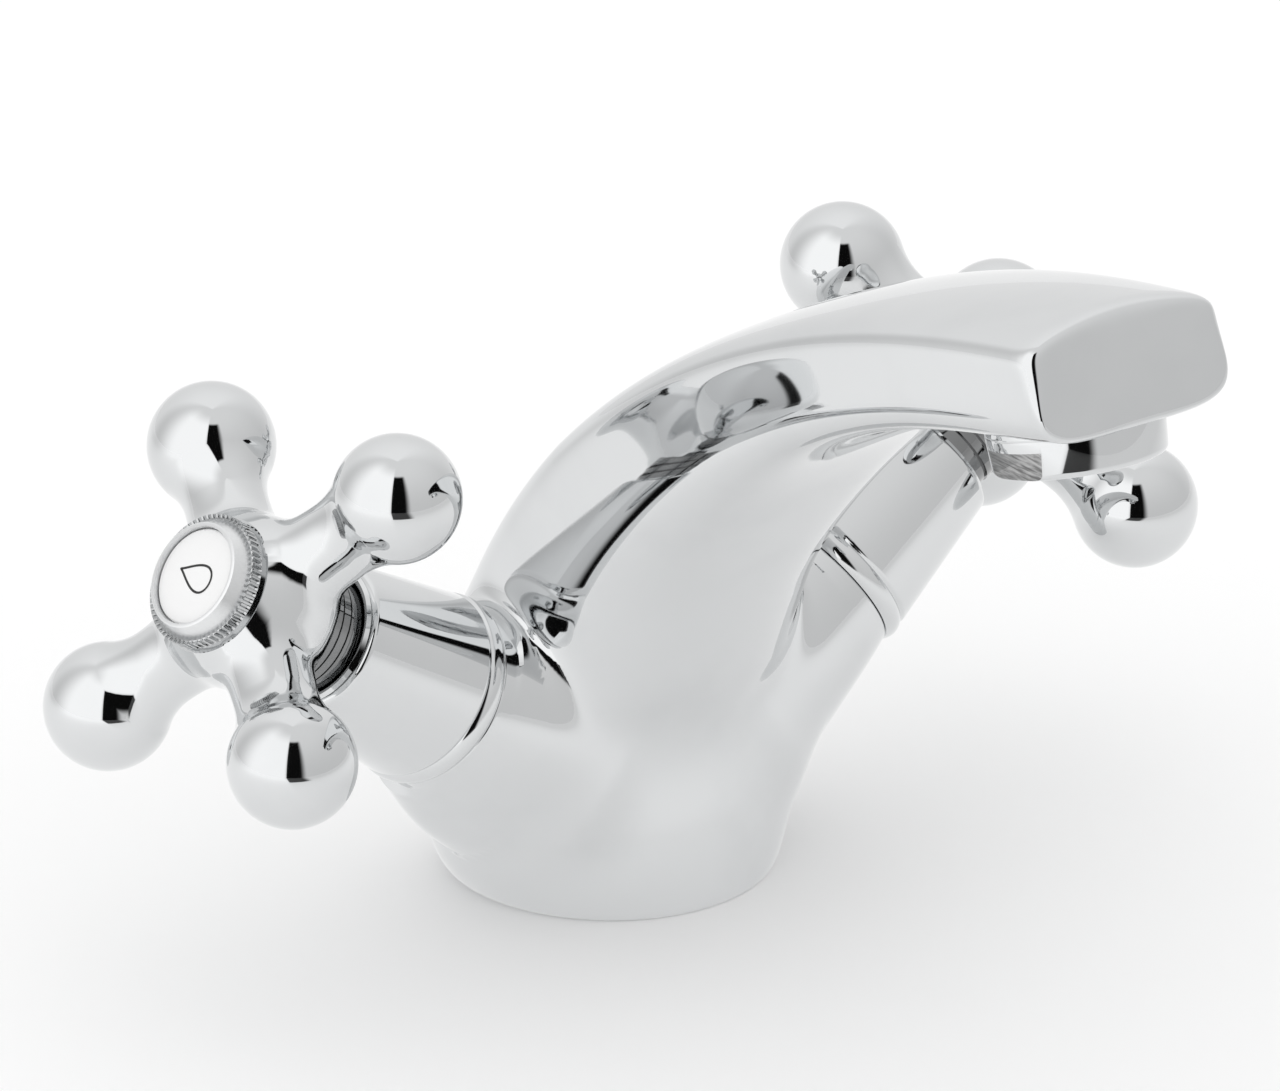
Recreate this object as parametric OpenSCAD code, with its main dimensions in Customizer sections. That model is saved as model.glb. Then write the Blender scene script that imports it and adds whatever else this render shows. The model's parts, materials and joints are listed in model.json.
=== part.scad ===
/* [Body] */
// Diameter of the round base that stands on the basin
base_d = 49.6; // [44:0.2:56]
// How far the round edge of the base is drawn in at its foot
base_edge = 0.9; // [0.4:0.1:1.6]
// Reach of the spout, from the middle of the base to the top edge of its end
spout_reach = 113.4; // [100:0.2:130]
// Height of the top edge of the spout's end
spout_height = 125.4; // [112:0.2:135]
// Height of the spout's end, over its crowned top
spout_end_h = 18.2; // [16:0.2:20]
// Width of the spout at its end
spout_w = 34.8; // [32:0.2:38]
// How far the flat end of the spout leans over, from upright
spout_tilt = 17.6; // [12:0.2:22]
// Distance of the column's front from its middle, above the base
throat_y = 21.9; // [20.5:0.1:24]
// Height where the column's front starts to sweep into the spout
throat_z = 25.4; // [22:0.2:28]
// Rounding of the top edge of the spout's end face
spout_edge = 2; // [1.2:0.1:2.6]
// Squareness of the back and top of the column and spout: 2 is round
back_square = 7.4; // [5:0.1:9]
// Squareness of the spout's underside: 2 is round
front_square = 3.4; // [2.6:0.1:5]
// Depth of the hollow under the base
recess_h = 6; // [4:0.5:8]
// Diameter of the hollow under the base
recess_d = 40; // [38:0.5:41]
// Wall between that hollow and the seal's groove
groove_wall = 1; // [0.8:0.1:1.2]
// Width of the seal's groove
groove_w = 2.2; // [1.8:0.1:2.4]
// Depth of the seal's groove
groove_h = 1.8; // [1.4:0.1:2.4]

/* [Side view of the column] */
// Lean of the back, forwards from its foot
back_lean = 5.8; // [4:0.1:8]
// Height over which the back rises at that lean
back_rise = 48.5; // [44:0.1:54]
// Length of the back's last sweep, to the top edge of the spout's end
back_sweep = 98; // [90:0.1:106]
// Climb of that sweep
back_climb = 15.2; // [12:0.1:18]
// Lean of the front, forwards from its throat
front_lean = 23.2; // [19:0.1:26]
// Height over which the front rises at that lean
front_rise = 76.9; // [70:0.1:82]
// Length of the front's last sweep, to the bottom edge of the spout's end
front_sweep = 23.3; // [20:0.1:28]
// Climb of that sweep
front_climb = 4.8; // [3:0.1:7]

/* [Valve sockets] */
// Angle of each valve's axis above level
valve_rise = 34.4; // [30:0.2:38]
// Height where both valve axes meet the middle of the body
valve_z = 12.5; // [11.5:0.1:14]
// How far in front of the base's middle both valve axes lie
valve_y = 3.4; // [2:0.1:5]
// Distance of each socket's end face from the middle, along the valve axis
socket_end = 43.6; // [43:0.2:46]
// Diameter of each socket at its end face
socket_d = 28; // [27:0.2:29]
// Diameter of each socket at its root, inside the column
socket_root_d = 38; // [36:0.5:40]
// Distance of that root from the middle, along the valve axis
socket_root = 4; // [3:0.5:6]
// Rounding of each socket's outer edge
socket_edge = 0.5; // [0.3:0.1:0.8]
// Distance of the valve seat from the middle, along the valve axis
seat_t = 24; // [23:0.2:26]

/* [Waterways] */
// Diameter of the threaded bore for each headwork, G 1/2
headwork_d = 21; // [20.6:0.1:21.4]
// Diameter of the port under each valve seat
port_d = 8; // [7:0.5:9]
// Length of that port
port_l = 13; // [12:0.5:15]
// Diameter of the drilling that climbs from each supply hole to its port
riser_d = 6.4; // [6:0.2:7]
// Length of that drilling beyond the supply hole
riser_l = 5; // [4:0.5:6]
// Diameter of the cross drilling that joins the two valves to the spout
cross_d = 7; // [6:0.5:8]
// Height of the cross drilling above the meeting point of the valve axes
cross_rise = 24.5; // [23.5:0.1:25.5]
// Diameter of the tapped hole for each supply tail, M10 x 1
inlet_d = 9; // [8.8:0.1:9.2]
// Depth of the tapped hole for each supply tail
inlet_h = 12; // [10:0.5:13]
// Distance between the two supply holes
inlet_gap = 20; // [18:0.5:22]
// Diameter of the tapped hole for the fixing stud, M8
stud_d = 6.8; // [6.6:0.1:7]
// Depth of the tapped hole for the fixing stud
stud_h = 14; // [10:0.5:16]
// Distance of the fixing stud behind the middle
stud_y = 11.5; // [10:0.5:13]
// Diameter of the waterway up the column and along the spout
way_d = 9; // [7:0.5:9]

/* [Handles] */
// Distance of each handle's ball plane from the middle, along the valve axis
ball_t = 83.6; // [82:0.2:88]
// Diameter of the four balls
ball_d = 19; // [17:0.2:21]
// Distance of each ball's centre from the valve axis
ball_r = 28.9; // [27:0.1:32]
// Diameter of an arm at its neck
neck_d = 12.4; // [11:0.2:13.5]
// Distance of that neck from the valve axis
neck_r = 17.7; // [16.5:0.1:18.5]
// Diameter of the round hub
hub_d = 26; // [24.5:0.5:27.5]
// Height of the hub's outer face above the ball plane
hub_top = 8; // [7.4:0.1:8.6]
// Depth of the hub's inner face below the ball plane
hub_bottom = 8; // [7.5:0.1:8.5]
// Turn of the first arm about the valve axis, with the valve closed
arm_turn = 37.2; // [0:0.2:90]
// Diameter of the skirt that enters the shroud
skirt_d = 19; // [18:0.2:19.4]
// Length of the skirt below the hub
skirt_h = 9; // [7:0.5:10]

/* [Index caps] */
// Diameter of the knurled ring
ring_d = 20; // [19:0.2:21]
// Height of the knurled band
knurl_h = 2; // [1.4:0.1:2.4]
// Height of the coned shoulder above the knurled band
shoulder_h = 2; // [1.4:0.1:2.4]
// Thickness of the lip under the knurled band
lip_h = 0.8; // [0.6:0.1:1.2]
// Diameter of the white disc
disc_d = 14.1; // [13:0.1:15]
// Thickness of the white disc
disc_h = 1; // [0.8:0.1:1.4]
// Diameter of the ring's stem in the hub
stem_d = 12.4; // [11.5:0.1:13]

/* [Shrouds] */
// Radial gap between the shroud's bore and the headwork's flange
bore_gap = 0.9; // [0.6:0.1:1.2]
// Distance of the shroud's outer rim from the ball plane
rim_gap = 14.4; // [13.6:0.1:15]
// Diameter of the shroud at its outer rim
rim_d = 22.6; // [22.2:0.1:23.6]
// Diameter of the shroud where its cone meets the collar
cone_d = 26.8; // [26.4:0.1:27.6]
// Diameter of the rounded collar at its widest
collar_d = 29.4; // [29:0.2:30.6]
// Length of the collar
collar_h = 3.6; // [3.2:0.1:4.2]
// Wall of the shroud
shroud_wall = 1.2; // [1:0.1:1.4]

/* [Headworks] */
// Lip of the flange that seats on the socket, beyond the thread
flange_lip = 1.3; // [1:0.1:1.5]
// Thickness of that flange
flange_h = 2.4; // [2:0.2:3]
// Distance across the flats of the hexagon
hex_af = 17; // [16:0.5:18]
// Height of the hexagon
hex_h = 7; // [6:0.5:8]
// Diameter of the threaded neck
collet_d = 14; // [13:0.5:14.5]
// Length of the threaded neck
collet_h = 6.6; // [6:0.2:7]
// Diameter of the nose that stands in the water
nose_d = 18; // [17.6:0.2:18.6]
// Diameter of the disc chamber inside the nose
chamber_d = 16; // [15.6:0.1:16]
// Diameter of the spindle in the headwork
spindle_d = 9; // [8.4:0.2:9.4]
// Diameter of the splined end that carries the handle
spline_d = 8; // [7.4:0.2:8]
// Thickness of each ceramic disc
ceramic_h = 3; // [2.5:0.1:3]
// Height of the rubber seat seal
seal_h = 3.5; // [3:0.1:3.6]
// Thickness of the circlip
clip_h = 1; // [0.8:0.1:1.2]

/* [Aerator] */
// Diameter of the visible housing
aerator_d = 24; // [23.6:0.2:25]
// Height of the housing below its seat in the spout
aerator_h = 6.2; // [5.6:0.1:7]
// How far that seat is sunk into the spout's underside
aerator_sink = 2.9; // [2.2:0.1:3.4]
// Lean of the housing's axis, the same way as the end of the spout
aerator_tilt = 15.9; // [12:0.1:20]
// Diameter of its threaded part in the spout
aerator_thread_d = 22; // [21:0.2:22]
// Length of its threaded part in the spout
aerator_thread_h = 6.8; // [5:0.2:7]
// Distance across the two spanner flats
aerator_flats = 22.2; // [21.8:0.1:23]
// Distance of the aerator's middle from the end of the spout, along its underside
aerator_back = 15; // [14:0.2:18]
// Height of the two spanner flats, up from the housing's foot
aerator_flat_h = 3.1; // [2.5:0.1:4]
// Bore of the washer above the housing
aerator_washer_d = 14; // [12:0.5:16]
// Diameter of the holes in the screen
screen_hole_d = 1.5; // [1.2:0.1:1.7]
// Distance between the rings of holes in the screen
screen_pitch = 2.3; // [2.2:0.1:2.6]

/* [Fits] */
// Running clearance on a radius, between parts that turn or slide in
fit = 0.05; // [0.02:0.01:0.1]
// Clearance between parts that only pass each other
clear = 0.3; // [0.2:0.05:0.5]

/* [Hidden] */
SIDES = ["left", "right"];
PIECES = ["shroud", "flange_washer", "headwork", "seat_seal", "fixed_disc", "moving_disc",
    "spindle", "spindle_ring", "circlip", "handle", "handle_screw", "index_ring", "index_disc"];
$fn = 48;

// Base and spout
base_r = base_d / 2;
groove_r = recess_d / 2 + groove_wall;
tilt_dir = [sin(spout_tilt), cos(spout_tilt)];
end_top = [-spout_reach, spout_height];
end_bottom = end_top - spout_end_h * tilt_dir;
// Each edge of the side view is a curve with two end points and two handles
back_curve = [[base_r, 0], [base_r - back_lean, back_rise], end_top + [back_sweep, -back_climb], end_top];
front_curve = [[-throat_y, throat_z], [-throat_y - front_lean, throat_z + front_rise],
    end_bottom + [front_sweep, -front_climb], end_bottom];
// Shares of the loft: end of the rounded foot, throat, full squareness behind, start and
// full squareness in front, start of the crown on top, and start of the rounded end
foot_s = 0.016;
throat_s = 0.2;
back_square_s = 0.56;
front_round_s = 0.4;
front_square_s = 0.8;
crown_s = 0.5;
end_s = 0.992;
// The front turns from its straight foot into the sweep over this much before and after the throat
throat_blend = 0.1;
// The body narrows slowly at first, and its top is crowned by these shares of its half depth
taper_power = 1.5;
crown = 0.06;
end_crown = 0.3;
rings = 38;
end_rings = 3;
ring_points = 36;
// Rounding of the end's bottom edge and sides, as shares of its top edge's
under_edge = 0.4;
side_edge = 0.25;

function curve(p, t) = let (u = 1 - t)
    u * u * u * p[0] + 3 * u * u * t * p[1] + 3 * u * t * t * p[2] + t * t * t * p[3];
function ease(x) = let (c = max(0, min(1, x))) c * c * (3 - 2 * c);
function mix(a, b, f) = a + (b - a) * f;
// The front's own parameter lags the back's, so that each section is square to the spout
function front_t(u) = u * (0.36 + 0.25 * u + 0.39 * u * u);
function back_at(s) = curve(back_curve, s);
function front_at(s) =
    let (foot = mix([-base_r, 0], [-throat_y, throat_z], s / throat_s),
        sweep = curve(front_curve, front_t((s - throat_s) / (1 - throat_s))))
    mix(foot, sweep, ease((s - throat_s + throat_blend) / (2 * throat_blend)));
function half_width(s) = mix(base_r, spout_w / 2, pow(s, taper_power));
function squareness(s, behind) = behind
    ? mix(2, back_square, ease(s / back_square_s))
    : mix(2, front_square, ease((s - front_round_s) / (front_square_s - front_round_s)));
function crown_at(s) = mix(crown, end_crown, max(0, (s - crown_s) / (1 - crown_s))) * ease(s / back_square_s);
function signed_power(v, e) = sign(v) * pow(abs(v), e);

// One closed section of the body: a circle at the base, nearly a rectangle along the spout.
// It is drawn in by the given insets behind, in front and at the sides
function section(s, behind, before, beside) =
    let (b = back_at(s), f = front_at(s), m = (b + f) / 2, h = (b - f) / 2, depth = norm(h),
        top = 1 - behind / depth, under = 1 - before / depth, w = half_width(s) - beside, k = crown_at(s))
    [for (i = [0:ring_points - 1])
        let (a = 360 * i / ring_points, e = 2 / squareness(s, cos(a) > 0),
            d = signed_power(sin(a), e),
            c = signed_power(cos(a), e) * (cos(a) > 0 ? top * (1 - k * d * d) : under))
        [w * d, m[0] + h[0] * c, m[1] + h[1] * c]];

body_sections = concat(
    [section(0, base_edge, base_edge, base_edge)],
    [for (i = [0:rings - 1]) section(mix(foot_s, end_s, i / (rings - 1)), 0, 0, 0)],
    [for (i = [1:end_rings]) let (a = 90 * i / end_rings, e = spout_edge * (1 - cos(a)))
        section(mix(end_s, 1, sin(a)), e, e * under_edge, e * side_edge)]);

// Valves, along each valve's own axis from the middle of the body
fibre_h = 0.6;
flange_d = headwork_d + 2 * flange_lip;
flange_t = socket_end + fibre_h;
hex_t = flange_t + flange_h;
collet_t = hex_t + hex_h;
collet_end = collet_t + collet_h;
nose_l = 14.4;
thread_t = seat_t + nose_l;
chamber_t = thread_t - 0.6;
// The socket narrows faster towards its end
socket_power = 1.65;
socket_steps = 5;
nose_t = seat_t + 1;
fixed_t = seat_t + seal_h;
moving_t = fixed_t + ceramic_h + fit;
drive_t = moving_t + ceramic_h;
rim_t = ball_t - rim_gap;
collar_t = socket_end + collar_h;
web_h = 2.5;
rim_lip = 0.8;
// Radius of the bead that forms the collar, and its number of steps
bead_r = 2.2;
bead_steps = 6;
// Where the bead is widest, as a share of the collar's length, and the rounding of the rim
bead_share = 0.44;
rim_round = 0.6;
clip_t = collet_end + 0.1;
spindle_end = ball_t - 1;
// Flare of each arm's root, and the stepped grooves round the skirt
arm_flare = 0.9;
skirt_grooves = 2;
skirt_band = 1.4;
skirt_pitch = 1.8;
skirt_step = 0.2;
groove_in = 0.6;
groove_l = 0.5;
screw_r = 2;
screw_slot = 1;
screw_head_r = 4;
screw_head_h = 2.4;
screw_l = 13;
hub_web = 2.5;
stem_h = 4.4;
lip_out = 0.3;
bezel_w = 0.4;
seal_bore = 10.4;
clip_groove_r = 3.3;
clip_w = 2.5;
o_ring_r = 0.75;
o_ring_t = hex_t + 2;
drive_w = 5;
tongue_w = 3.5;
drive_slot = 1.2;
window_w = 8;
// The two openings through each ceramic disc
flow_in = 2.2;
flow_w = 4.2;
flow_angle = 76;

// Aerator, along its own axis from its seat in the spout's underside
under_dir = [-cos(aerator_tilt), sin(aerator_tilt)];
aerator_up = [sin(aerator_tilt), cos(aerator_tilt)];
aerator_at = end_bottom - aerator_back * under_dir + aerator_sink * aerator_up;
aerator_lip = 0.8;
aerator_washer_h = 1.2;
aerator_wall = 1.8;
screen_h = 0.6;
// The insert is hollow at both ends, with a plate of jet holes between
insert_wall = 1.2;
insert_hollow = 3;
jet_r = 1.1;
aerator_bore_h = aerator_thread_h + aerator_washer_h;

// The waterway's middle line runs midway between the back and the front
way_start = [-valve_y, valve_z + cross_rise];
way_steps = 8;
way_from = 0.33;
way_to = 0.945;
// The way drifts up to this much above that line, which leaves more wall over the aerator
way_lift = 0.6;
// The ball at each bend of the waterway is a little wider than the way
knee = 0.3;
function way_at(f) = let (s = mix(way_from, way_to, f)) (back_at(s) + front_at(s)) / 2 + [0, way_lift * f];
way_points = concat([way_start], [for (i = [0:way_steps]) way_at(i / way_steps)]);
// The cross drilling ends half a millimetre inside each headwork's bore
cross_end = (cross_rise * cos(valve_rise) - headwork_d / 2 + 0.5) / sin(valve_rise);

// Puts its children on the right valve's axis
module on_right_axis() {
    translate([0, -valve_y, valve_z]) rotate([0, 90 - valve_rise, 0]) children();
}

// Puts its children on a valve's axis: side is 0 for the left and 1 for the right
module on_axis(side) {
    if (side == 0) mirror([1, 0, 0]) on_right_axis() children();
    else on_right_axis() children();
}

// Puts its children on the aerator's axis, with +Z pointing down out of the spout
module on_aerator() {
    translate([0, aerator_at[0], aerator_at[1]]) rotate([180 - aerator_tilt, 0, 0]) children();
}

// Turns a half outline, given as radius and height points, about Z
module turned(points) {
    rotate_extrude() polygon(points);
}

module tube(r_out, r_in, from, to) {
    turned([[r_in, from], [r_out, from], [r_out, to], [r_in, to]]);
}

module rod(r, from, to) {
    translate([0, 0, from]) cylinder(r = r, h = to - from);
}

module loft(sections) {
    n = len(sections[0]);
    m = len(sections);
    sides = [for (j = [0:m - 2], i = [0:n - 1])
        [j * n + i, j * n + (i + 1) % n, (j + 1) * n + (i + 1) % n, (j + 1) * n + i]];
    halves = [for (q = sides) each [[q[0], q[1], q[2]], [q[0], q[2], q[3]]]];
    ends = [[for (i = [n - 1:-1:0]) i], [for (i = [0:n - 1]) (m - 1) * n + i]];
    polyhedron(points = [for (s = sections) each s], faces = concat(halves, ends));
}

// Outside of one valve socket, flared into the column
module socket_outside() {
    tip = socket_d / 2;
    turned(concat([[0, socket_root]],
        [for (i = [0:socket_steps]) let (f = i / socket_steps)
            [mix(socket_root_d / 2, tip, pow(f, socket_power)), mix(socket_root, socket_end - socket_edge, f)]],
        [[tip - socket_edge, socket_end], [0, socket_end]]));
}

module supply_ways() {
    for (x = [-inlet_gap / 2, inlet_gap / 2]) translate([x, -valve_y, 0]) {
        rod(inlet_d / 2, recess_h - 1, recess_h + inlet_h);
        rod(riser_d / 2, recess_h, recess_h + inlet_h + riser_l);
    }
    translate([0, stud_y, 0]) rod(stud_d / 2, recess_h - 1, recess_h + stud_h);
    for (side = [0, 1]) on_axis(side) rod(port_d / 2, seat_t - port_l, seat_t + 1);
}

module spout_way() {
    r = way_d / 2;
    translate([-cross_end, way_start[0], way_start[1]]) rotate([0, 90, 0])
        cylinder(d = cross_d, h = 2 * cross_end);
    for (i = [0:len(way_points) - 2]) {
        p = way_points[i];
        q = way_points[i + 1];
        d = q - p;
        translate([0, p[0], p[1]]) {
            rotate([atan2(-d[0], d[1]), 0, 0]) cylinder(r = r, h = norm(d));
            sphere(r = r + knee);
        }
    }
}

module body() {
    color("silver") difference() {
        union() {
            loft(body_sections);
            for (side = [0, 1]) on_axis(side) socket_outside();
        }
        rod(recess_d / 2, -1, recess_h);
        tube(groove_r + groove_w, groove_r, -1, groove_h);
        supply_ways();
        for (side = [0, 1]) on_axis(side) rod(headwork_d / 2, seat_t, socket_end + 1);
        spout_way();
        on_aerator() {
            rod(aerator_thread_d / 2 + fit, -aerator_bore_h, 1);
            rod(aerator_d / 2 + clear, 0, aerator_h);
        }
    }
}

module base_seal() {
    color("dimgray") tube(groove_r + groove_w - fit, groove_r + fit, 0, groove_h);
}

module aerator_housing() {
    r = aerator_d / 2;
    thread = aerator_thread_d / 2;
    inner = thread - aerator_wall;
    edge = 0.4;
    cut = aerator_d;
    flat_z = aerator_h - aerator_flat_h;
    color("silver") on_aerator() difference() {
        turned([[inner, -aerator_thread_h], [thread, -aerator_thread_h], [thread, edge], [r - edge, edge],
            [r, 2 * edge], [r, aerator_h - edge], [r - edge, aerator_h], [inner - aerator_lip, aerator_h],
            [inner - aerator_lip, aerator_h - aerator_lip], [inner, aerator_h - aerator_lip]]);
        for (x = [-1, 1]) translate([x * (aerator_flats + cut) / 2, 0, flat_z + cut])
            cube([cut, 2 * cut, 2 * cut], center = true);
    }
}

module aerator_washer() {
    color("dimgray") on_aerator()
        tube(aerator_thread_d / 2 - clear, aerator_washer_d / 2, -aerator_bore_h, -aerator_thread_h);
}

module aerator_insert() {
    r = aerator_thread_d / 2 - aerator_wall - fit;
    bottom = aerator_h - aerator_lip - screen_h;
    color("gainsboro") on_aerator() difference() {
        rod(r, -aerator_thread_h, bottom);
        rod(r - insert_wall, -aerator_thread_h - 1, -aerator_thread_h + insert_hollow);
        rod(r - insert_wall, bottom - insert_hollow, bottom + 1);
        for (a = [0:45:315]) rotate([0, 0, a]) translate([r * 0.62, 0, 0]) rod(jet_r, -aerator_thread_h, bottom);
        for (a = [0:90:270]) rotate([0, 0, a]) translate([r * 0.28, 0, 0]) rod(jet_r, -aerator_thread_h, bottom);
    }
}

module aerator_screen() {
    r = aerator_thread_d / 2 - aerator_wall - fit;
    top = aerator_h - aerator_lip - screen_h;
    color("lightgray") on_aerator() difference() {
        rod(r, top, top + screen_h);
        for (ring = [1:3], a = [0:360 / (6 * ring):359]) rotate([0, 0, a])
            translate([ring * screen_pitch, 0, 0]) rod(screen_hole_d / 2, top - 1, top + screen_h + 1);
    }
}

module shroud() {
    bore = flange_d / 2 + bore_gap;
    mouth = skirt_d / 2 + 2 * clear;
    neck = collet_d / 2 + fit;
    // The collar is part of a round bead, from the socket's face to the cone
    bead_out = collar_d / 2 - bead_r;
    bead_t = socket_end + collar_h * bead_share;
    low = asin((socket_end - bead_t) / bead_r);
    high = asin((collar_t - bead_t) / bead_r);
    bead = [for (i = [0:bead_steps]) let (a = mix(low, high, i / bead_steps))
        [bead_out + bead_r * cos(a), bead_t + bead_r * sin(a)]];
    // Radius of the cone where the web meets it
    web_out = mix(cone_d / 2, rim_d / 2, (collet_t - collar_t) / (rim_t - collar_t));
    color("silver") turned(concat([[bore, socket_end]], bead, [[cone_d / 2, collar_t + clear],
        [rim_d / 2, rim_t - rim_round], [rim_d / 2 - rim_round * 0.3, rim_t - rim_round * 0.3],
        [rim_d / 2 - rim_round, rim_t], [mouth, rim_t], [mouth, rim_t - rim_lip],
        [rim_d / 2 - shroud_wall, rim_t - rim_lip - clear], [web_out - shroud_wall, collet_t + web_h],
        [neck, collet_t + web_h], [neck, collet_t], [web_out - shroud_wall, collet_t],
        [cone_d / 2 - shroud_wall, collar_t], [bore, hex_t + clear]]));
}

module flange_washer() {
    color("saddlebrown") tube(flange_d / 2, headwork_d / 2, socket_end, flange_t);
}

module headwork() {
    hex_r = hex_af / 2 / cos(30);
    color("goldenrod") difference() {
        union() {
            rod(nose_d / 2, nose_t, thread_t + 1);
            rod(headwork_d / 2 - fit, thread_t, flange_t);
            rod(flange_d / 2, flange_t, hex_t);
            translate([0, 0, hex_t]) cylinder(r = hex_r, h = hex_h, $fn = 6);
            rod(collet_d / 2, collet_t, collet_end);
        }
        rod(chamber_d / 2, nose_t - 1, chamber_t);
        rod(spindle_d / 2 + fit, chamber_t - 1, collet_end + 1);
        for (a = [0, 90]) rotate([0, 0, a]) translate([0, 0, (drive_t + chamber_t) / 2 + 0.2])
            cube([headwork_d, window_w, chamber_t - drive_t - 0.6], center = true);
    }
}

module seat_seal() {
    color("dimgray") tube(chamber_d / 2 - fit, seal_bore / 2, seat_t, fixed_t);
}

// Two openings, a quarter of a circle each, on the line at the given angle
module flow_openings(angle, from, to) {
    for (a = [0, 180]) rotate([0, 0, angle + a - flow_angle / 2]) translate([0, 0, from])
        rotate_extrude(angle = flow_angle) translate([flow_in, 0]) square([flow_w, to - from]);
}

module fixed_disc() {
    color("white") difference() {
        rod(chamber_d / 2 - fit, fixed_t, fixed_t + ceramic_h);
        flow_openings(0, fixed_t - 1, fixed_t + ceramic_h + 1);
    }
}

module moving_disc() {
    color("ivory") difference() {
        rod(chamber_d / 2 - clear, moving_t, drive_t);
        flow_openings(90, moving_t - 1, drive_t + 1);
        translate([0, 0, drive_t]) cube([chamber_d, tongue_w + 2 * fit, 2 * drive_slot], center = true);
    }
}

module spindle() {
    r = spindle_d / 2;
    color("goldenrod") difference() {
        union() {
            intersection() {
                rod(chamber_d / 2 - 0.5, drive_t - drive_slot + fit, chamber_t - fit);
                union() {
                    translate([0, 0, drive_t]) cube([chamber_d, tongue_w, chamber_d], center = true);
                    translate([0, 0, drive_t + fit + drive_w])
                        cube([chamber_d, drive_w, 2 * drive_w], center = true);
                }
            }
            rod(r, drive_t + 1, collet_end);
            rod(spline_d / 2, collet_end - 1, spindle_end);
        }
        tube(r + 1, r - 2 * o_ring_r, o_ring_t - o_ring_r, o_ring_t + o_ring_r);
        tube(r + 1, clip_groove_r, clip_t - fit, clip_t + clip_h + fit);
        rod(screw_r + fit, spindle_end - screw_l, spindle_end + 1);
    }
}

module spindle_ring() {
    color("dimgray") translate([0, 0, o_ring_t]) rotate_extrude()
        translate([spindle_d / 2 - o_ring_r, 0]) circle(r = o_ring_r);
}

module circlip() {
    color("slategray") translate([0, 0, clip_t]) rotate([0, 0, 20]) rotate_extrude(angle = 320)
        translate([clip_groove_r, 0]) square([clip_w, clip_h]);
}

// Half outline of one arm: a cone inside the hub, a neck and a hollow curve up to the ball
function arm_outline() =
    let (neck = neck_d / 2, ball = ball_d / 2,
        rise = ball_r - neck_r,
        // radius of the hollow curve that leaves the neck and just touches the ball
        hollow = (rise * rise + neck * neck - ball * ball) / (2 * (ball - neck)),
        touch = atan2(rise, neck + hollow))
    concat([[0, 0], [neck + arm_flare, 0], [neck + arm_flare, neck_r * 0.55],
            [neck + arm_flare * 0.4, neck_r * 0.8]],
        [for (i = [0:6]) let (a = touch * i / 6) [neck + hollow * (1 - cos(a)), neck_r + hollow * sin(a)]],
        [[0, neck_r + hollow * sin(touch)]]);

module handle() {
    hub_r = hub_d / 2;
    s = skirt_d / 2;
    color("silver") translate([0, 0, ball_t]) difference() {
        union() {
            intersection() {
                sphere(r = hub_r);
                rod(hub_r, -hub_bottom, hub_top);
            }
            for (k = [0:3]) rotate([0, 0, arm_turn + 90 * k]) rotate([0, 90, 0]) {
                turned(arm_outline());
                translate([0, 0, ball_r]) sphere(r = ball_d / 2);
            }
            translate([0, 0, -hub_bottom]) turned(concat([[0, 1], [s, 1]],
                [for (k = [0:skirt_grooves - 1]) let (r = s - k * skirt_step, z = -skirt_band - k * skirt_pitch)
                    each [[r, z], [r - groove_in, z], [r - groove_in, z - groove_l],
                        [r - skirt_step, z - groove_l]]],
                [[s - skirt_grooves * skirt_step, -skirt_h], [0, -skirt_h]]));
        }
        rod(spline_d / 2 + fit, -hub_bottom - skirt_h - 1, spindle_end - ball_t);
        rod(screw_r + 2 * fit, spindle_end - ball_t - 1, spindle_end - ball_t + hub_web + 1);
        rod(stem_d / 2 + fit, spindle_end - ball_t + hub_web, hub_top + 1);
    }
}

module handle_screw() {
    seat = spindle_end + hub_web;
    color("slategray") difference() {
        union() {
            rod(screw_head_r, seat, seat + screw_head_h);
            rod(screw_r, seat - screw_l, seat + 1);
        }
        translate([0, 0, seat + screw_head_h]) cube([screw_slot, 3 * screw_head_r, screw_head_h], center = true);
    }
}

module index_ring() {
    face = ball_t + hub_top;
    band = face + lip_h;
    shoulder = band + knurl_h;
    top = shoulder + shoulder_h;
    r = ring_d / 2;
    bezel = disc_d / 2 + fit;
    color("silver") difference() {
        turned([[0, face - stem_h], [stem_d / 2, face - stem_h], [stem_d / 2, face], [r + lip_out, face],
            [r + lip_out, band], [r, band], [r, shoulder], [bezel + bezel_w, top], [0, top]]);
        rod(bezel, top - disc_h, top + 1);
        rod(screw_head_r + 1, face - stem_h - 1, band + lip_h);
    }
}

module index_disc() {
    top = ball_t + hub_top + lip_h + knurl_h + shoulder_h;
    color("white") rod(disc_d / 2, top - disc_h, top);
}

body();
base_seal();
aerator_housing();
aerator_washer();
aerator_insert();
aerator_screen();
for (side = [0, 1]) on_axis(side) {
    shroud();
    flange_washer();
    headwork();
    seat_seal();
    fixed_disc();
    moving_disc();
    spindle();
    spindle_ring();
    circlip();
    handle();
    handle_screw();
    index_ring();
    index_disc();
}
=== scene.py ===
"""A monobloc basin mixer with cross handles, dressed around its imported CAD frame."""
import json
import math

import bmesh
import bpy
import numpy as np
from mathutils import Matrix, Vector

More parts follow.
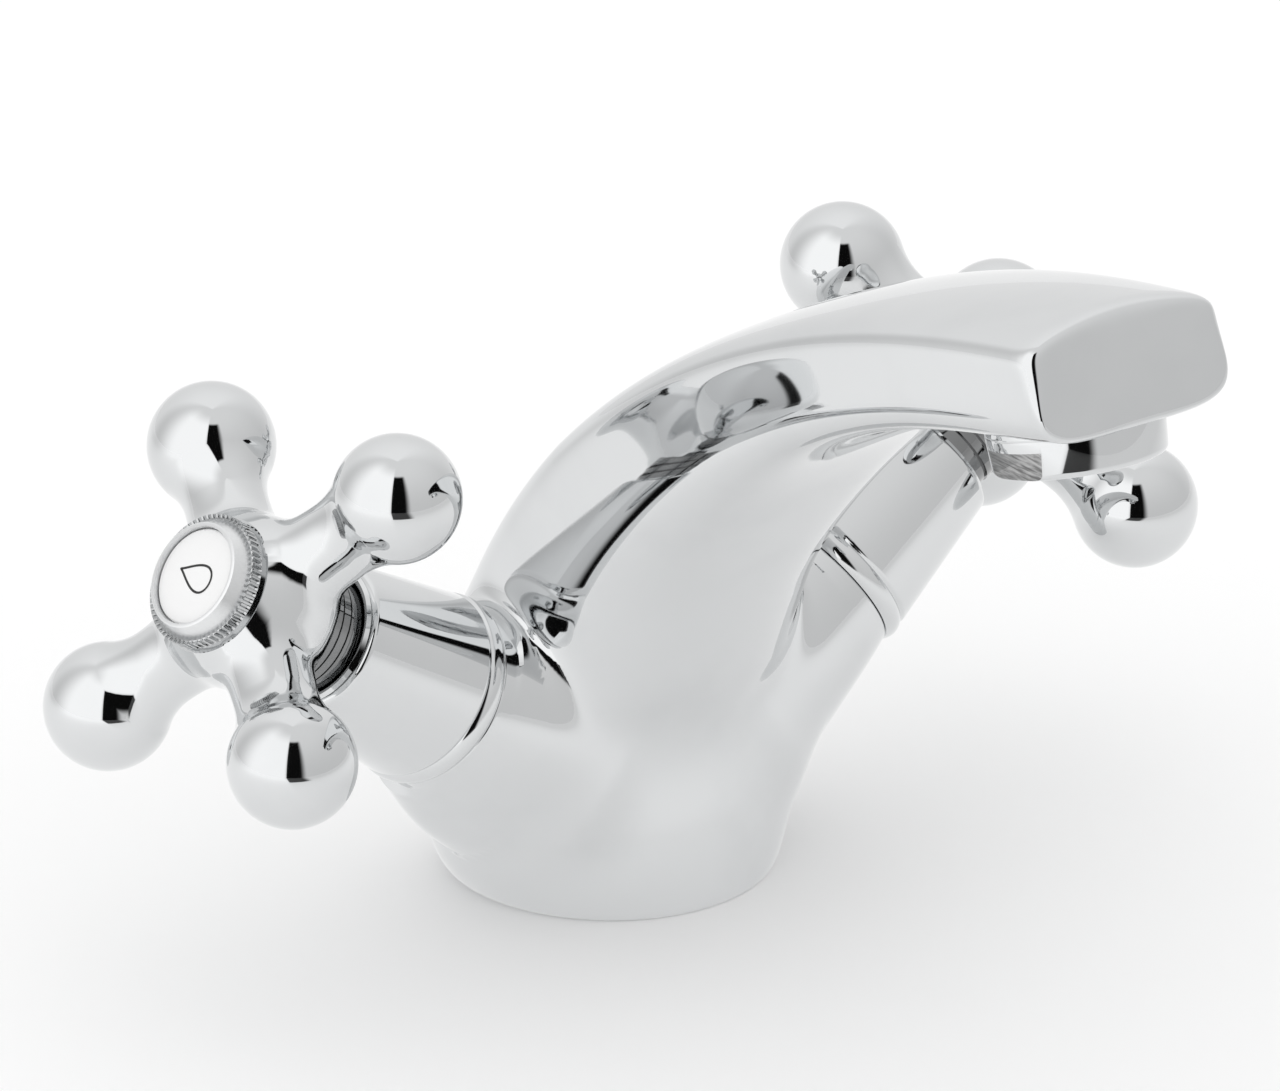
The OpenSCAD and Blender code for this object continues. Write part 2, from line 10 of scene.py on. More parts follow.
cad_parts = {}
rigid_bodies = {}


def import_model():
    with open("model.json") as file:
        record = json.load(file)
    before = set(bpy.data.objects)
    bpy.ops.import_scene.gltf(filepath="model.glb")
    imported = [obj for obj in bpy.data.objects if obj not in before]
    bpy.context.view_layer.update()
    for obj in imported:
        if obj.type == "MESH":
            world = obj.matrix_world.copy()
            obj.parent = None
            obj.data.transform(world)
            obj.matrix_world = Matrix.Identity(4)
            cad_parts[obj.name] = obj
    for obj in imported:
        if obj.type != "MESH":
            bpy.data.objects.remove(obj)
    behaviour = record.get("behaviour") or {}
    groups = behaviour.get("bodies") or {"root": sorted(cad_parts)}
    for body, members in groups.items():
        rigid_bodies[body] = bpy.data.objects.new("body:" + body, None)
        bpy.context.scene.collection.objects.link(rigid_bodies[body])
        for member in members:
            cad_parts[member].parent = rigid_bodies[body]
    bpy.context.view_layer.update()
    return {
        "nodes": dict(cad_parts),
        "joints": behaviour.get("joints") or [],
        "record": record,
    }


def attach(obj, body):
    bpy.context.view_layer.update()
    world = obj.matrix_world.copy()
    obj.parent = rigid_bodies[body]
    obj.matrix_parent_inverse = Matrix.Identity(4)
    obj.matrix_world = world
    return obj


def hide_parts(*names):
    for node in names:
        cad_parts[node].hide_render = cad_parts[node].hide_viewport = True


for leftover in list(bpy.data.objects):
    bpy.data.objects.remove(leftover)

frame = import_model()

# Shapes are worked out in millimetres, and each finished mesh is scaled to metres
MM = 0.001

# Camera of the photograph: angles in degrees, focal length in the photograph's pixels, aim in millimetres
PHOTO_W = 1280
CAMERA_AZIMUTH = -38.4181608
CAMERA_ELEVATION = 23.2401028
CAMERA_ROLL = 0.632601158
CAMERA_FOCAL_PX = 12641.7844
CAMERA_AIM_RIGHT = 4.52155019
CAMERA_AIM_UP = 45.8117946
CAMERA_DISTANCE = 1888.98689
SENSOR_W = 36

# Body: its side view, in which the spout reaches towards -Y
BASE_R = 24.8
FOOT_ROUND = 1.3
REACH = 113.4
HEIGHT = 125.4
END_HEIGHT = 17.5
END_TILT = math.radians(17.6)
THROAT = np.array([-21.9, 25.4])
THROAT_SHARE = 0.2
BACK_PULLS = ((-5.8, 48.5), (98, -15.2))
FRONT_PULLS = ((-23.2, 76.9), (23.3, -7))
SWEEP_PACE = (0.36, 0.25, 0.39)
SWEEP_START = 0.1
SWEEP_BLEND = 0.2

# Body: its sections, from a circle at the foot to a crowned rectangle at the spout's end
SPOUT_R = 17.4
TAPER_POWER = 1.5
BACK_SQUARE = 7.4
BACK_SQUARE_SHARE = 0.56
FRONT_SQUARE = 4.6
FRONT_ROUND_SHARE = 0.4
FRONT_SQUARE_SHARE = 0.8
CROWN = 0.06
END_CROWN = 0.3
CROWN_SHARE = 0.5
FLARE = 3.6
FLARE_Z = 9.5

# Body: the rounding round the spout's end. A soft edge this many times as wide looks like the arc
END_ROUND_TOP = 2
END_ROUND_BELOW = 0.8
SOFT_PER_ROUND = 2.2

# A section's height is worked out no further out than this share of its half width
WIDEST = 1.05

# Body: the fillets round its sockets, which narrow from the foot upwards
FILLET_LOW = 15
FILLET_HIGH = 7
FILLET_Z = 12
FILLET_RISE = 18

# Body: its underside
RECESS_R = 20
RECESS_H = 6
GROOVE_IN = 21
GROOVE_OUT = 23.2
GROOVE_H = 1.8
INLET_R = 4.5
INLET_H = 12
INLET_X = 10
STUD_R = 3.4
STUD_H = 14
STUD_Y = 11.5

# Valve sockets, along each valve's axis from the middle of the body
SOCKET_ROOT_T = 4
SOCKET_ROOT_R = 16.5
SOCKET_END_T = 43.6
SOCKET_END_R = 14
SOCKET_EDGE = 0.5
SOCKET_START_T = 20
SOCKET_POWER = 3.5
SOCKET_FACE_R = 12
HEADWORK_R = 10.5
SEAT_T = 24

# True distance from the socket's cone, as a share of the gap measured across its axis
SOCKET_STEEPNESS = 0.97

# Handle: heights are along the valve's axis, from the plane of its balls
HUB_R = 13
HUB_TOP = 8
HUB_BOTTOM = -8
HUB_ROUND = 1.5
ARM_TURN = 37.2
NECK_R = 6.2
NECK_AT = 17.7
ARM_FLARE = 0.9
ARM_FLARE_LENGTH = 8
BALL_R = 9.5
BALL_AT = 28.9
ARM_FILLET = 3.4
SKIRT_R = 9.5
SKIRT_END = -17
SKIRT_CHAMFER = 0.4
SKIRT_GROOVES = 2
SKIRT_PLAIN_H = 1.4
SKIRT_GROOVE_PITCH = 1.8
SKIRT_GROOVE_W = 0.5
SKIRT_GROOVE_D = 0.6
SKIRT_GROOVE_SLANT = 0.03
SKIRT_STEP = 0.2
STEM_R = 6.25
STEM_FLOOR = 1.5
SPLINE_R = 4.05
SPLINE_TOP = -1
SCREW_HOLE_R = 2.1


# Arithmetic on arrays. A distance is a function from points to how far each lies outside a surface

PROBE = 0.01


def ease(x):
    """From 0 to 1 as x goes from 0 to 1, level at both ends."""
    c = np.clip(x, 0, 1)
    return c * c * (3 - 2 * c)


def mix(a, b, f):
    """From a to b as f goes from 0 to 1."""
    return a + (b - a) * f


def soft_min(a, b, k):
    """The smaller of two distances, with a fillet about k wide where they meet."""
    h = np.maximum(k - np.abs(a - b), 0) / k
    return np.minimum(a, b) - h * h * h * k / 6


def soft_max(a, b, k):
    """The larger of two distances, with a rounded edge about k wide where they meet."""
    return -soft_min(-a, -b, k)


def gradient(distance, points):
    """Direction in which a distance grows, at each point."""
    slopes = []
    for axis in np.eye(3) * PROBE:
        slopes.append(distance(points + axis) - distance(points - axis))
    return np.stack(slopes, axis=1) / (2 * PROBE)


def settle(distance, points, rounds):
    """Points moved onto the surface where a distance is 0, in steps of 2 mm at most."""
    for _ in range(rounds):
        here = distance(points)
        slopes = [distance(points + axis) - here for axis in np.eye(3) * PROBE]
        slope = np.stack(slopes, axis=1) / PROBE
        reach = here / np.maximum((slope * slope).sum(axis=1), 0.2)
        points = points - slope * np.clip(reach, -2, 2)[:, None]
    return points


# Shape of the body, as (y, z) points in its side view and as distances from its surface

END_TOP = np.array([-REACH, HEIGHT])
END_BOTTOM = END_TOP - END_HEIGHT * np.array([math.sin(END_TILT), math.cos(END_TILT)])
HEEL = np.array([BASE_R, 0])
TOE = np.array([-BASE_R, 0])
BACK = np.array([HEEL, HEEL + BACK_PULLS[0], END_TOP + BACK_PULLS[1], END_TOP])
FRONT = np.array([THROAT, THROAT + FRONT_PULLS[0], END_BOTTOM + FRONT_PULLS[1], END_BOTTOM])

turn_joint = next(j for j in frame["joints"] if j["child"] == "right_valve")
VALVE_DIRECTION = np.array(turn_joint["axis"])
BALL_PLANE = np.array(turn_joint["pos_m"]) / MM
BALL_T = BALL_PLANE[0] / VALVE_DIRECTION[0]
VALVE_Y = BALL_PLANE[1]
VALVE_Z = BALL_PLANE[2] - BALL_T * VALVE_DIRECTION[2]
VALVE_RISE = math.atan2(VALVE_DIRECTION[2], VALVE_DIRECTION[0])


def bezier(p, t):
    """Points along a curve between p[0] and p[3] that p[1] and p[2] pull out."""
    t = np.asarray(t)[..., None]
    u = 1 - t
    return u * u * u * p[0] + 3 * u * u * t * p[1] + 3 * u * t * t * p[2] + t * t * t * p[3]


def back_at(share):
    return bezier(BACK, share)


def front_at(share):
    """The front rises straight from the foot, then sweeps forwards from the throat."""
    share = np.asarray(share, dtype=float)
    straight = mix(TOE, THROAT, (share / THROAT_SHARE)[..., None])
    u = (share - THROAT_SHARE) / (1 - THROAT_SHARE)
    sweep = bezier(FRONT, u * (SWEEP_PACE[0] + SWEEP_PACE[1] * u + SWEEP_PACE[2] * u * u))
    return mix(straight, sweep, ease((share - SWEEP_START) / SWEEP_BLEND)[..., None])


def half_width(share):
    return mix(BASE_R, SPOUT_R, np.maximum(share, 0) ** TAPER_POWER)


def flare_at(z):
    """Extra half width a little above the foot, which eases the column into the sockets."""
    height = np.maximum(z, 0) / FLARE_Z
    return FLARE * height * np.exp(1 - height)


def squareness(share, behind):
    """Power of the section's outline: an ellipse has 2, and squarer corners have more."""
    back = mix(2, BACK_SQUARE, ease(share / BACK_SQUARE_SHARE))
    squared = ease((share - FRONT_ROUND_SHARE) / (FRONT_SQUARE_SHARE - FRONT_ROUND_SHARE))
    return np.where(behind, back, mix(2, FRONT_SQUARE, squared))


def crown_factor(share, behind, across):
    """How high the section's back stands across its width, as a share of its height in the middle."""
    rise = mix(CROWN, END_CROWN, np.clip((share - CROWN_SHARE) / (1 - CROWN_SHARE), 0, 1))
    rise = np.where(behind, rise * ease(share / BACK_SQUARE_SHARE), 0)
    return 1 - rise * across * across


def section_at(share):
    """Middle, unit direction to the back, and half depth of the section at a share of the loft."""
    back = back_at(share)
    front = front_at(share)
    across = (back - front) / 2
    depth = np.linalg.norm(across, axis=-1)
    return (back + front) / 2, across / depth[..., None], depth


COARSE = np.linspace(0, 1, 61)
COARSE_MIDDLE = section_at(COARSE)[0]


def share_of(side):
    """Share of the loft whose section holds each (y, z) point."""
    gap = side[:, None, :] - COARSE_MIDDLE[None]
    share = COARSE[(gap * gap).sum(axis=2).argmin(axis=1)]

    def ahead(s):
        """How far each point lies past the section at a share."""
        middle, across, _ = section_at(s)
        offset = side - middle
        return offset[:, 0] * -across[:, 1] + offset[:, 1] * across[:, 0]

    step = 1e-4
    for _ in range(5):
        value = ahead(share)
        slope = (ahead(share + step) - ahead(share - step)) / (2 * step)
        slope = np.where(np.abs(slope) < 5, -100, slope)
        share = np.clip(share - np.clip(value / slope, -0.05, 0.05), 0, 1)
    return share


def column_distance(points):
    """Distance from the column and spout, without their sockets."""
    side = points[:, 1:]
    share = share_of(side)
    middle, across, depth = section_at(share)
    u = ((side - middle) * across).sum(axis=1)
    across_share = np.minimum(np.abs(points[:, 0]) / (half_width(share) + flare_at(points[:, 2])), WIDEST)
    height_share = np.abs(u) / depth / crown_factor(share, u > 0, across_share)
    power = squareness(share, u > 0)
    size = (height_share ** power + across_share ** power) ** (1 / power)
    walls = np.hypot(u, points[:, 0]) * (1 - 1 / np.maximum(size, 1e-6))
    end = (side - END_TOP) @ np.array([-math.cos(END_TILT), math.sin(END_TILT)])
    edge = mix(END_ROUND_BELOW, END_ROUND_TOP, ease(0.5 + u / depth))
    walls = soft_max(walls, end, SOFT_PER_ROUND * edge)
    return soft_max(walls, -points[:, 2], FOOT_ROUND)


def socket_radius(t):
    """The socket swells from nothing at the middle, so that it leaves the body's front smooth."""
    f = np.clip((t - SOCKET_ROOT_T) / (SOCKET_END_T - SOCKET_EDGE - SOCKET_ROOT_T), 0, 1)
    taper = mix(SOCKET_ROOT_R, SOCKET_END_R, f ** SOCKET_POWER)
    return taper - SOCKET_ROOT_R * (1 - ease(t / SOCKET_START_T))


def socket_distance(points):
    """Distance from the nearer of the two sockets, which mirror each other."""
    x = np.abs(points[:, 0])
    z = points[:, 2] - VALVE_Z
    c = math.cos(VALVE_RISE)
    s = math.sin(VALVE_RISE)
    t = x * c + z * s
    radial = np.hypot(z * c - x * s, points[:, 1] - VALVE_Y)
    return np.maximum(SOCKET_STEEPNESS * (radial - socket_radius(t)), -t)


def body_distance(points):
    fillet = mix(FILLET_LOW, FILLET_HIGH, ease((points[:, 2] - FILLET_Z) / FILLET_RISE))
    return soft_min(column_distance(points), socket_distance(points), fillet)


# Meshes

# Edges that fold more than this are creases. A corner takes its distance's normal if its vertex
# lies this near the surface, and the cosine of the angle between the two normals is above this
SHARP = math.radians(32)
ON_SURFACE = 0.004
SAME_WAY = 0.94


def coordinates(verts):
    return np.array([v.co for v in verts])


def place(verts, points):
    for vert, point in zip(verts, points):
        vert.co = point


def rim(bm, ring):
    """Edges of a closed loop of vertices."""
    return [bm.edges.get(pair) for pair in zip(ring, ring[1:] + ring[:1])]


def extrude_ring(bm, ring, points):
    """A new ring of vertices at the given points, joined to the last one by faces."""
    made = bmesh.ops.extrude_edge_only(bm, edges=rim(bm, ring))["geom"]
    fresh = {g for g in made if isinstance(g, bmesh.types.BMVert)}
    following = []
    for vert in ring:
        ends = (e.other_vert(vert) for e in vert.link_edges)
        following.append(next(end for end in ends if end in fresh))
    place(following, points)
    return following


def extrude_outline(bm, ring, spoke, outline):
    """Carries a ring round Z through an outline of (radius, height) points."""
    for radius, height in outline:
        ring = extrude_ring(bm, ring, spoke * radius + [0, 0, height])
    return ring


def level_spokes(ring):
    """Unit directions from the Z axis towards each vertex of a ring."""
    spoke = coordinates(ring) * [1, 1, 0]
    return spoke / np.linalg.norm(spoke, axis=1, keepdims=True)


def cap(bm, ring):
    """Closes a ring with a fan of triangles and returns the vertex in its middle."""
    face = bmesh.ops.contextual_create(bm, geom=rim(bm, ring))["faces"][0]
    return bmesh.ops.poke(bm, faces=[face])["verts"][0]


def relax(bm, verts, distance, rounds):
    """Evens out the spacing of vertices along the surface that they lie on."""
    bm.verts.index_update()
    points = coordinates(bm.verts)
    chosen = np.array([v.index for v in verts])
    around = [[e.other_vert(v).index for e in v.link_edges] for v in verts]
    counts = np.array([len(a) for a in around])
    owner = np.repeat(np.arange(len(verts)), counts)
    neighbour = np.concatenate([np.array(a) for a in around])
    for _ in range(rounds):
        total = np.zeros((len(verts), 3))
        np.add.at(total, owner, points[neighbour])
        points[chosen] = settle(distance, mix(points[chosen], total / counts[:, None], 0.6), 1)
    points[chosen] = settle(distance, points[chosen], 3)
    place(verts, points[chosen])


def circle_points(radius, height, count, start=0.0):
    angle = np.arange(count) * 2 * math.pi / count + start
    return np.stack([radius * np.cos(angle), radius * np.sin(angle), np.full(count, height)], axis=1)


def make_piece(name, bm, distance=None):
    """A smooth object from a mesh in millimetres, with exact normals where it lies on a distance."""
    bmesh.ops.recalc_face_normals(bm, faces=bm.faces)
    for face in bm.faces:
        face.smooth = True
    for edge in bm.edges:
        edge.smooth = len(edge.link_faces) != 2 or edge.calc_face_angle(0) < SHARP
    mesh = bpy.data.meshes.new(name)
    bm.to_mesh(mesh)
    bm.free()
    if distance is not None:
        set_exact_normals(mesh, distance)
    mesh.transform(Matrix.Scale(MM, 4))
    piece = bpy.data.objects.new(name, mesh)
    bpy.context.collection.objects.link(piece)
    return piece


def set_exact_normals(mesh, distance):
    """Takes normals from the distance's slope, apart from corners on other faces, such as a cut's."""
    points = np.empty(3 * len(mesh.vertices))
    mesh.vertices.foreach_get("co", points)
    points = points.reshape(-1, 3)
    slope = gradient(distance, points)
    slope /= np.maximum(np.linalg.norm(slope, axis=1, keepdims=True), 1e-9)
    on_surface = np.abs(distance(points)) < ON_SURFACE
    corner = np.empty(3 * len(mesh.loops))
    mesh.corner_normals.foreach_get("vector", corner)
    corner = corner.reshape(-1, 3)
    vertex = np.empty(len(mesh.loops), dtype=int)
    mesh.loops.foreach_get("vertex_index", vertex)
    follows = on_surface[vertex] & ((corner * slope[vertex]).sum(axis=1) > SAME_WAY)
    corner[follows] = slope[vertex][follows]
    mesh.normals_split_custom_set(corner)


# Body, made as a cage of rings that then settles onto its distance

BODY_COLUMNS = 128
BODY_STEP = 1.05
CORNER_CROWDING = 2 / 3

# Rings round the foot's edge, as (inset, height), and the height of a loft that climbs at the foot's pace
FOOT_RINGS = ((1.6, 0), (1.2, 0), (0.8, 0.06), (0.45, 0.2), (0.2, 0.45), (0.05, 0.8), (0, 1.25))
FOOT_PACE = 142

# Shares of the loft where its even rings start and stop, and insets of the rings on the spout's end
LOFT_START = 0.015
LOFT_STOP = 0.997
END_INSETS = (0.25, 0.7, 1.2, 1.7, 2.2, 2.8, 4.2, 5.6)

# The hole in the cage that each socket grows from, and the rings that the socket adds
HOLE_COLUMNS = range(18, 51)
HOLE_BOTTOM = 3.5
HOLE_TOP = 48
SOCKET_RINGS = 24
SOCKET_PLAIN_T = 41
SOCKET_LAST_STEP = 0.7
BORE_MIDDLE_T = 38
RELAX_REACH = 7

# Rings that only divide flat faces
RECESS_RING_R = 15
SMALL_RING_R = 5


def crowded(wave):
    """A sine or cosine whose values crowd towards the corners of a section."""
    return np.sign(wave) * np.abs(wave) ** CORNER_CROWDING


def section_points(share, inset):
    """One ring of the body, at a share of the loft and drawn in by an inset."""
    angle = np.arange(BODY_COLUMNS) * 2 * math.pi / BODY_COLUMNS
    c = crowded(np.cos(angle))
    d = crowded(np.sin(angle))
    power = squareness(share, c > 0)
    size = (np.abs(c) ** power + np.abs(d) ** power) ** (1 / power)
    middle, across, depth = section_at(np.array([share]))
    crowned = c / size * crown_factor(share, c > 0, d / size)
    side = middle + across * (depth - inset) * crowned[:, None]
    return np.column_stack([(half_width(share) - inset) * d / size, side])


def even_shares(start, stop, step):
    """Shares of the loft about one step apart along its middle line."""
    fine = np.linspace(start, stop, 800)
    middle = section_at(fine)[0]
    length = np.concatenate([[0], np.cumsum(np.linalg.norm(np.diff(middle, axis=0), axis=1))])
    return np.interp(np.linspace(0, length[-1], int(length[-1] / step)), length, fine)


def valve_matrix(sign):
    """Places a shape along +Z on a valve's axis: sign is -1 for the left and 1 for the right."""
    leaning = Matrix.Rotation(math.pi / 2 - VALVE_RISE, 4, "Y")
    return Matrix.Diagonal((sign, 1, 1, 1)) @ Matrix.Translation((0, VALVE_Y, VALVE_Z)) @ leaning


def moved(points, matrix):
    """Points carried by a matrix."""
    matrix = np.array(matrix)
    return points @ matrix[:3, :3].T + matrix[:3, 3]


def best_match(ring, loop):
    """The loop turned, and reversed if need be, so that it follows a ring of points without a twist."""
    options = []
    for candidate in (loop, loop[::-1]):
        for shift in range(len(loop)):
            rolled = np.roll(candidate, shift, axis=0)
            options.append((((rolled - ring) ** 2).sum(), rolled))
    return min(options, key=lambda option: option[0])[1]


def socket_outline():
    """The socket's (radius, height) points, from its plain end round the edge to the floor of its bore."""
    last = [SOCKET_PLAIN_T + SOCKET_LAST_STEP, SOCKET_PLAIN_T + 2 * SOCKET_LAST_STEP]
    outline = [(socket_radius(t), t) for t in last + [SOCKET_END_T - SOCKET_EDGE]]
    for degrees in (30, 60, 90):
        turn = math.radians(degrees)
        radius = SOCKET_END_R - SOCKET_EDGE * (1 - math.cos(turn))
        outline.append((radius, SOCKET_END_T - SOCKET_EDGE * (1 - math.sin(turn))))
    outline += [(SOCKET_FACE_R, SOCKET_END_T), (HEADWORK_R, SOCKET_END_T)]
    outline += [(HEADWORK_R, BORE_MIDDLE_T), (HEADWORK_R, SEAT_T), (SMALL_RING_R, SEAT_T)]
    return outline


def build_socket(bm, hole, sign):
    """One valve socket, from its hole in the column. Returns the vertices that are still to settle."""
    start = coordinates(hole)
    end = circle_points(socket_radius(SOCKET_PLAIN_T), SOCKET_PLAIN_T, len(hole))
    goal = best_match(start, moved(end, valve_matrix(sign)))
    ring = hole
    free = []
    for k in range(1, SOCKET_RINGS + 1):
        ring = extrude_ring(bm, ring, mix(start, goal, k / SOCKET_RINGS))
        free += ring if k < SOCKET_RINGS else []
    axis_start, axis_stop = moved(np.array([[0, 0, 0], [0, 0, 1.0]]), valve_matrix(sign))
    direction = axis_stop - axis_start
    spoke = goal - (axis_start + direction * SOCKET_PLAIN_T)
    spoke /= np.linalg.norm(spoke, axis=1, keepdims=True)
    for radius, t in socket_outline():
        ring = extrude_ring(bm, ring, axis_start + direction * t + spoke * radius)
    cap(bm, ring)
    return free


def loft_body(bm):
    """Rings of vertices from the foot's edge to the spout's closed end."""
    plans = [(height / FOOT_PACE, inset) for inset, height in FOOT_RINGS]
    plans += [(share, 0) for share in even_shares(LOFT_START, LOFT_STOP, BODY_STEP)]
    plans += [(1, inset) for inset in END_INSETS]
    first = list(bmesh.ops.create_circle(bm, segments=BODY_COLUMNS, radius=BASE_R)["verts"])
    place(first, section_points(*plans[0]))
    rings = [first]
    for plan in plans[1:]:
        rings.append(extrude_ring(bm, rings[-1], section_points(*plan)))
    bmesh.ops.contextual_create(bm, geom=rim(bm, rings[-1]))
    return rings


def first_above(rings, height):
    """Number of the first ring whose side lies above a height."""
    return next(k for k, ring in enumerate(rings) if ring[BODY_COLUMNS // 4].co.z > height)


def loop_round(rings, columns, bottom, top):
    """The vertices round a rectangle of the loft, in order."""
    loop = [rings[bottom][c] for c in columns]
    loop += [rings[k][columns[-1]] for k in range(bottom + 1, top + 1)]
    loop += [rings[top][c] for c in columns[-2::-1]]
    return loop + [rings[k][columns[0]] for k in range(top - 1, bottom, -1)]


def settle_body(bm, outer, free):
    """Moves the cage onto the casting's surface, and evens it out on and round the sockets."""
    place(outer + free, settle(body_distance, coordinates(outer + free), 3))
    place(free, settle(body_distance, coordinates(free), 4))
    near = set(free)
    for _ in range(RELAX_REACH):
        near |= {e.other_vert(v) for v in near for e in v.link_edges}
    near &= set(outer + free)
    relax(bm, list(near), body_distance, 12)
    for vert in outer:
        vert.co.z = max(vert.co.z, 0)


def close_underside(bm, ring):
    """The flat foot, the base seal's groove and the recess."""
    spoke = level_spokes(ring)
    place(ring, spoke * GROOVE_OUT)
    outline = [(GROOVE_OUT, GROOVE_H), (GROOVE_IN, GROOVE_H), (GROOVE_IN, 0), (RECESS_R, 0)]
    outline += [(RECESS_R, RECESS_H), (RECESS_RING_R, RECESS_H), (SMALL_RING_R, RECESS_H)]
    cap(bm, extrude_outline(bm, ring, spoke, outline))


def build_body():
    bm = bmesh.new()
    rings = loft_body(bm)
    outer = [v for ring in rings[1:-2] for v in ring]
    bottom = first_above(rings, HOLE_BOTTOM)
    top = first_above(rings, HOLE_TOP)
    free = []
    for sign in (1, -1):
        columns = [sign * c % BODY_COLUMNS for c in HOLE_COLUMNS]
        hole = loop_round(rings, columns, bottom, top)
        inner = {rings[k][c] for k in range(bottom + 1, top) for c in columns[1:-1]}
        outer = [v for v in outer if v not in inner]
        bmesh.ops.delete(bm, geom=list(inner), context="VERTS")
        free += build_socket(bm, hole, sign)
    settle_body(bm, outer, free)
    close_underside(bm, rings[0])
    return bm


def boolean_cut(piece, cutters, distance=None):
    """Cuts other solids out of a piece, which gets its smooth shading again."""
    for cutter in cutters:
        modifier = piece.modifiers.new("cut", "BOOLEAN")
        modifier.operation = "DIFFERENCE"
        modifier.solver = "EXACT"
        modifier.object = cutter
    graph = bpy.context.evaluated_depsgraph_get()
    bm = bmesh.new()
    bm.from_object(piece, graph)
    name = piece.name
    old = piece.data
    bpy.data.objects.remove(piece)
    bpy.data.meshes.remove(old)
    for cutter in cutters:
        bpy.data.objects.remove(cutter)
    bmesh.ops.remove_doubles(bm, verts=bm.verts, dist=1e-6)
    bmesh.ops.scale(bm, vec=(1 / MM,) * 3, verts=bm.verts)
    return make_piece(name, bm, distance)


def drill(radius, low, high, matrix, steps=64):
    """A plain cylinder between two heights, for cutting."""
    bm = bmesh.new()
    middle = Matrix.Translation((0, 0, (low + high) / 2))
    bmesh.ops.create_cone(
        bm, cap_ends=True, segments=steps, radius1=radius, radius2=radius,
        depth=high - low, matrix=matrix @ middle,
    )
    return make_piece("drill", bm)


def block(low, high, matrix):
    """A plain box between two corners, for cutting."""
    bm = bmesh.new()
    size = Matrix.Diagonal([h - l for l, h in zip(low, high)] + [1])
    middle = Matrix.Translation([(l + h) / 2 for l, h in zip(low, high)])
    bmesh.ops.create_cube(bm, size=1, matrix=matrix @ middle @ size)
    return make_piece("block", bm)


def turned(outline, steps):
    """A closed outline of (radius, height) points, spun about Z."""
    bm = bmesh.new()
    verts = [bm.verts.new((radius, 0, height)) for radius, height in outline]
    edges = [bm.edges.new(pair) for pair in zip(verts, verts[1:] + verts[:1])]
    bmesh.ops.spin(
        bm, geom=verts + edges, axis=(0, 0, 1), cent=(0, 0, 0),
        angle=2 * math.pi, steps=steps, use_merge=True,
    )
    bmesh.ops.remove_doubles(bm, verts=bm.verts, dist=1e-5)
    return bm


def rounded(corners, segments=5):
    """An outline whose corners, given as (radius, height, rounding), have arcs in place of points."""
    points = []
    count = len(corners)
    for k in range(count):
        here = Vector(corners[k][:2])
        rounding = corners[k][2]
        if rounding == 0:
            points.append(tuple(here))
            continue
        before = (Vector(corners[k - 1][:2]) - here).normalized()
        after = (Vector(corners[(k + 1) % count][:2]) - here).normalized()
        half = before.angle(after) / 2
        centre = here + (before + after).normalized() * rounding / math.sin(half)
        start = here + before * rounding / math.tan(half) - centre
        stop = here + after * rounding / math.tan(half) - centre
        for step in range(segments + 1):
            points.append(tuple(centre + start.slerp(stop, step / segments)))
    return points


# Handle, along its own axis with the balls in the plane Z = 0

ARM_RISE = BALL_AT - NECK_AT
HOLLOW_R = (ARM_RISE**2 + NECK_R**2 - BALL_R**2) / (2 * (BALL_R - NECK_R))
TOUCH = math.atan2(ARM_RISE, NECK_R + HOLLOW_R)
TOUCH_AT = NECK_AT + HOLLOW_R * math.sin(TOUCH)
HOLLOW_LIMIT = HOLLOW_R * 0.9

# The hub's flat top ends here, past which the plane that cuts it lifts clear of the arms
FACE_EDGE_R = 11.2
FACE_CLEARANCE = 8
FACE_BLEND = 5

# The cage: columns of a quarter of its two rims, which are (radius, height), and rings along each arm
RIM_COLUMNS = 16
CAGE_TOP = (10.9, 6.7)
CAGE_BOTTOM = (10.4, -7.4)
CAGE_BULGE = 0.9
ARM_ROOT_AT = 14.6
ARM_ROOT_RINGS = 6
ARM_STEP = 1.0
BALL_RINGS = 23
BALL_TIP = math.radians(4)

# The first plain rings inside the rims
FACE_RING_R = 10.3
UNDER_RING_R = 10.0


def arm_radius(u):
    """The arm narrows to its neck, then swells in a hollow until it touches its ball."""
    flare = ARM_FLARE * np.clip((NECK_AT - u) / ARM_FLARE_LENGTH, 0, 1) ** 2
    rise = np.clip(u - NECK_AT, 0, HOLLOW_LIMIT)
    return NECK_R + flare + HOLLOW_R - np.sqrt(HOLLOW_R**2 - rise**2)


def arm_distance(u, w, z):
    """Distance from one arm and its ball: u is along the arm."""
    around = np.hypot(w, z)
    ball = np.hypot(u - BALL_AT, around) - BALL_R
    return np.where(u < TOUCH_AT, np.maximum(around - arm_radius(u), -u), ball)


def handle_distance(points):
    """Distance from the handle's upper casting: the hub with its flat top, and four arms."""
    turn = math.radians(ARM_TURN)
    x = points[:, 0] * math.cos(turn) + points[:, 1] * math.sin(turn)
    y = points[:, 1] * math.cos(turn) - points[:, 0] * math.sin(turn)
    z = points[:, 2]
    u = np.maximum(np.abs(x), np.abs(y))
    w = np.minimum(np.abs(x), np.abs(y))
    arms = soft_min(arm_distance(u, w, z), arm_distance(w, u, z), ARM_FILLET)
    hub = np.sqrt(x * x + y * y + z * z) - HUB_R
    hub = soft_max(hub, HUB_BOTTOM - z, HUB_ROUND)
    both = soft_min(hub, arms, ARM_FILLET)
    face = z - HUB_TOP - FACE_CLEARANCE * ease((np.hypot(x, y) - FACE_EDGE_R) / FACE_BLEND)
    return soft_max(both, face, HUB_ROUND)


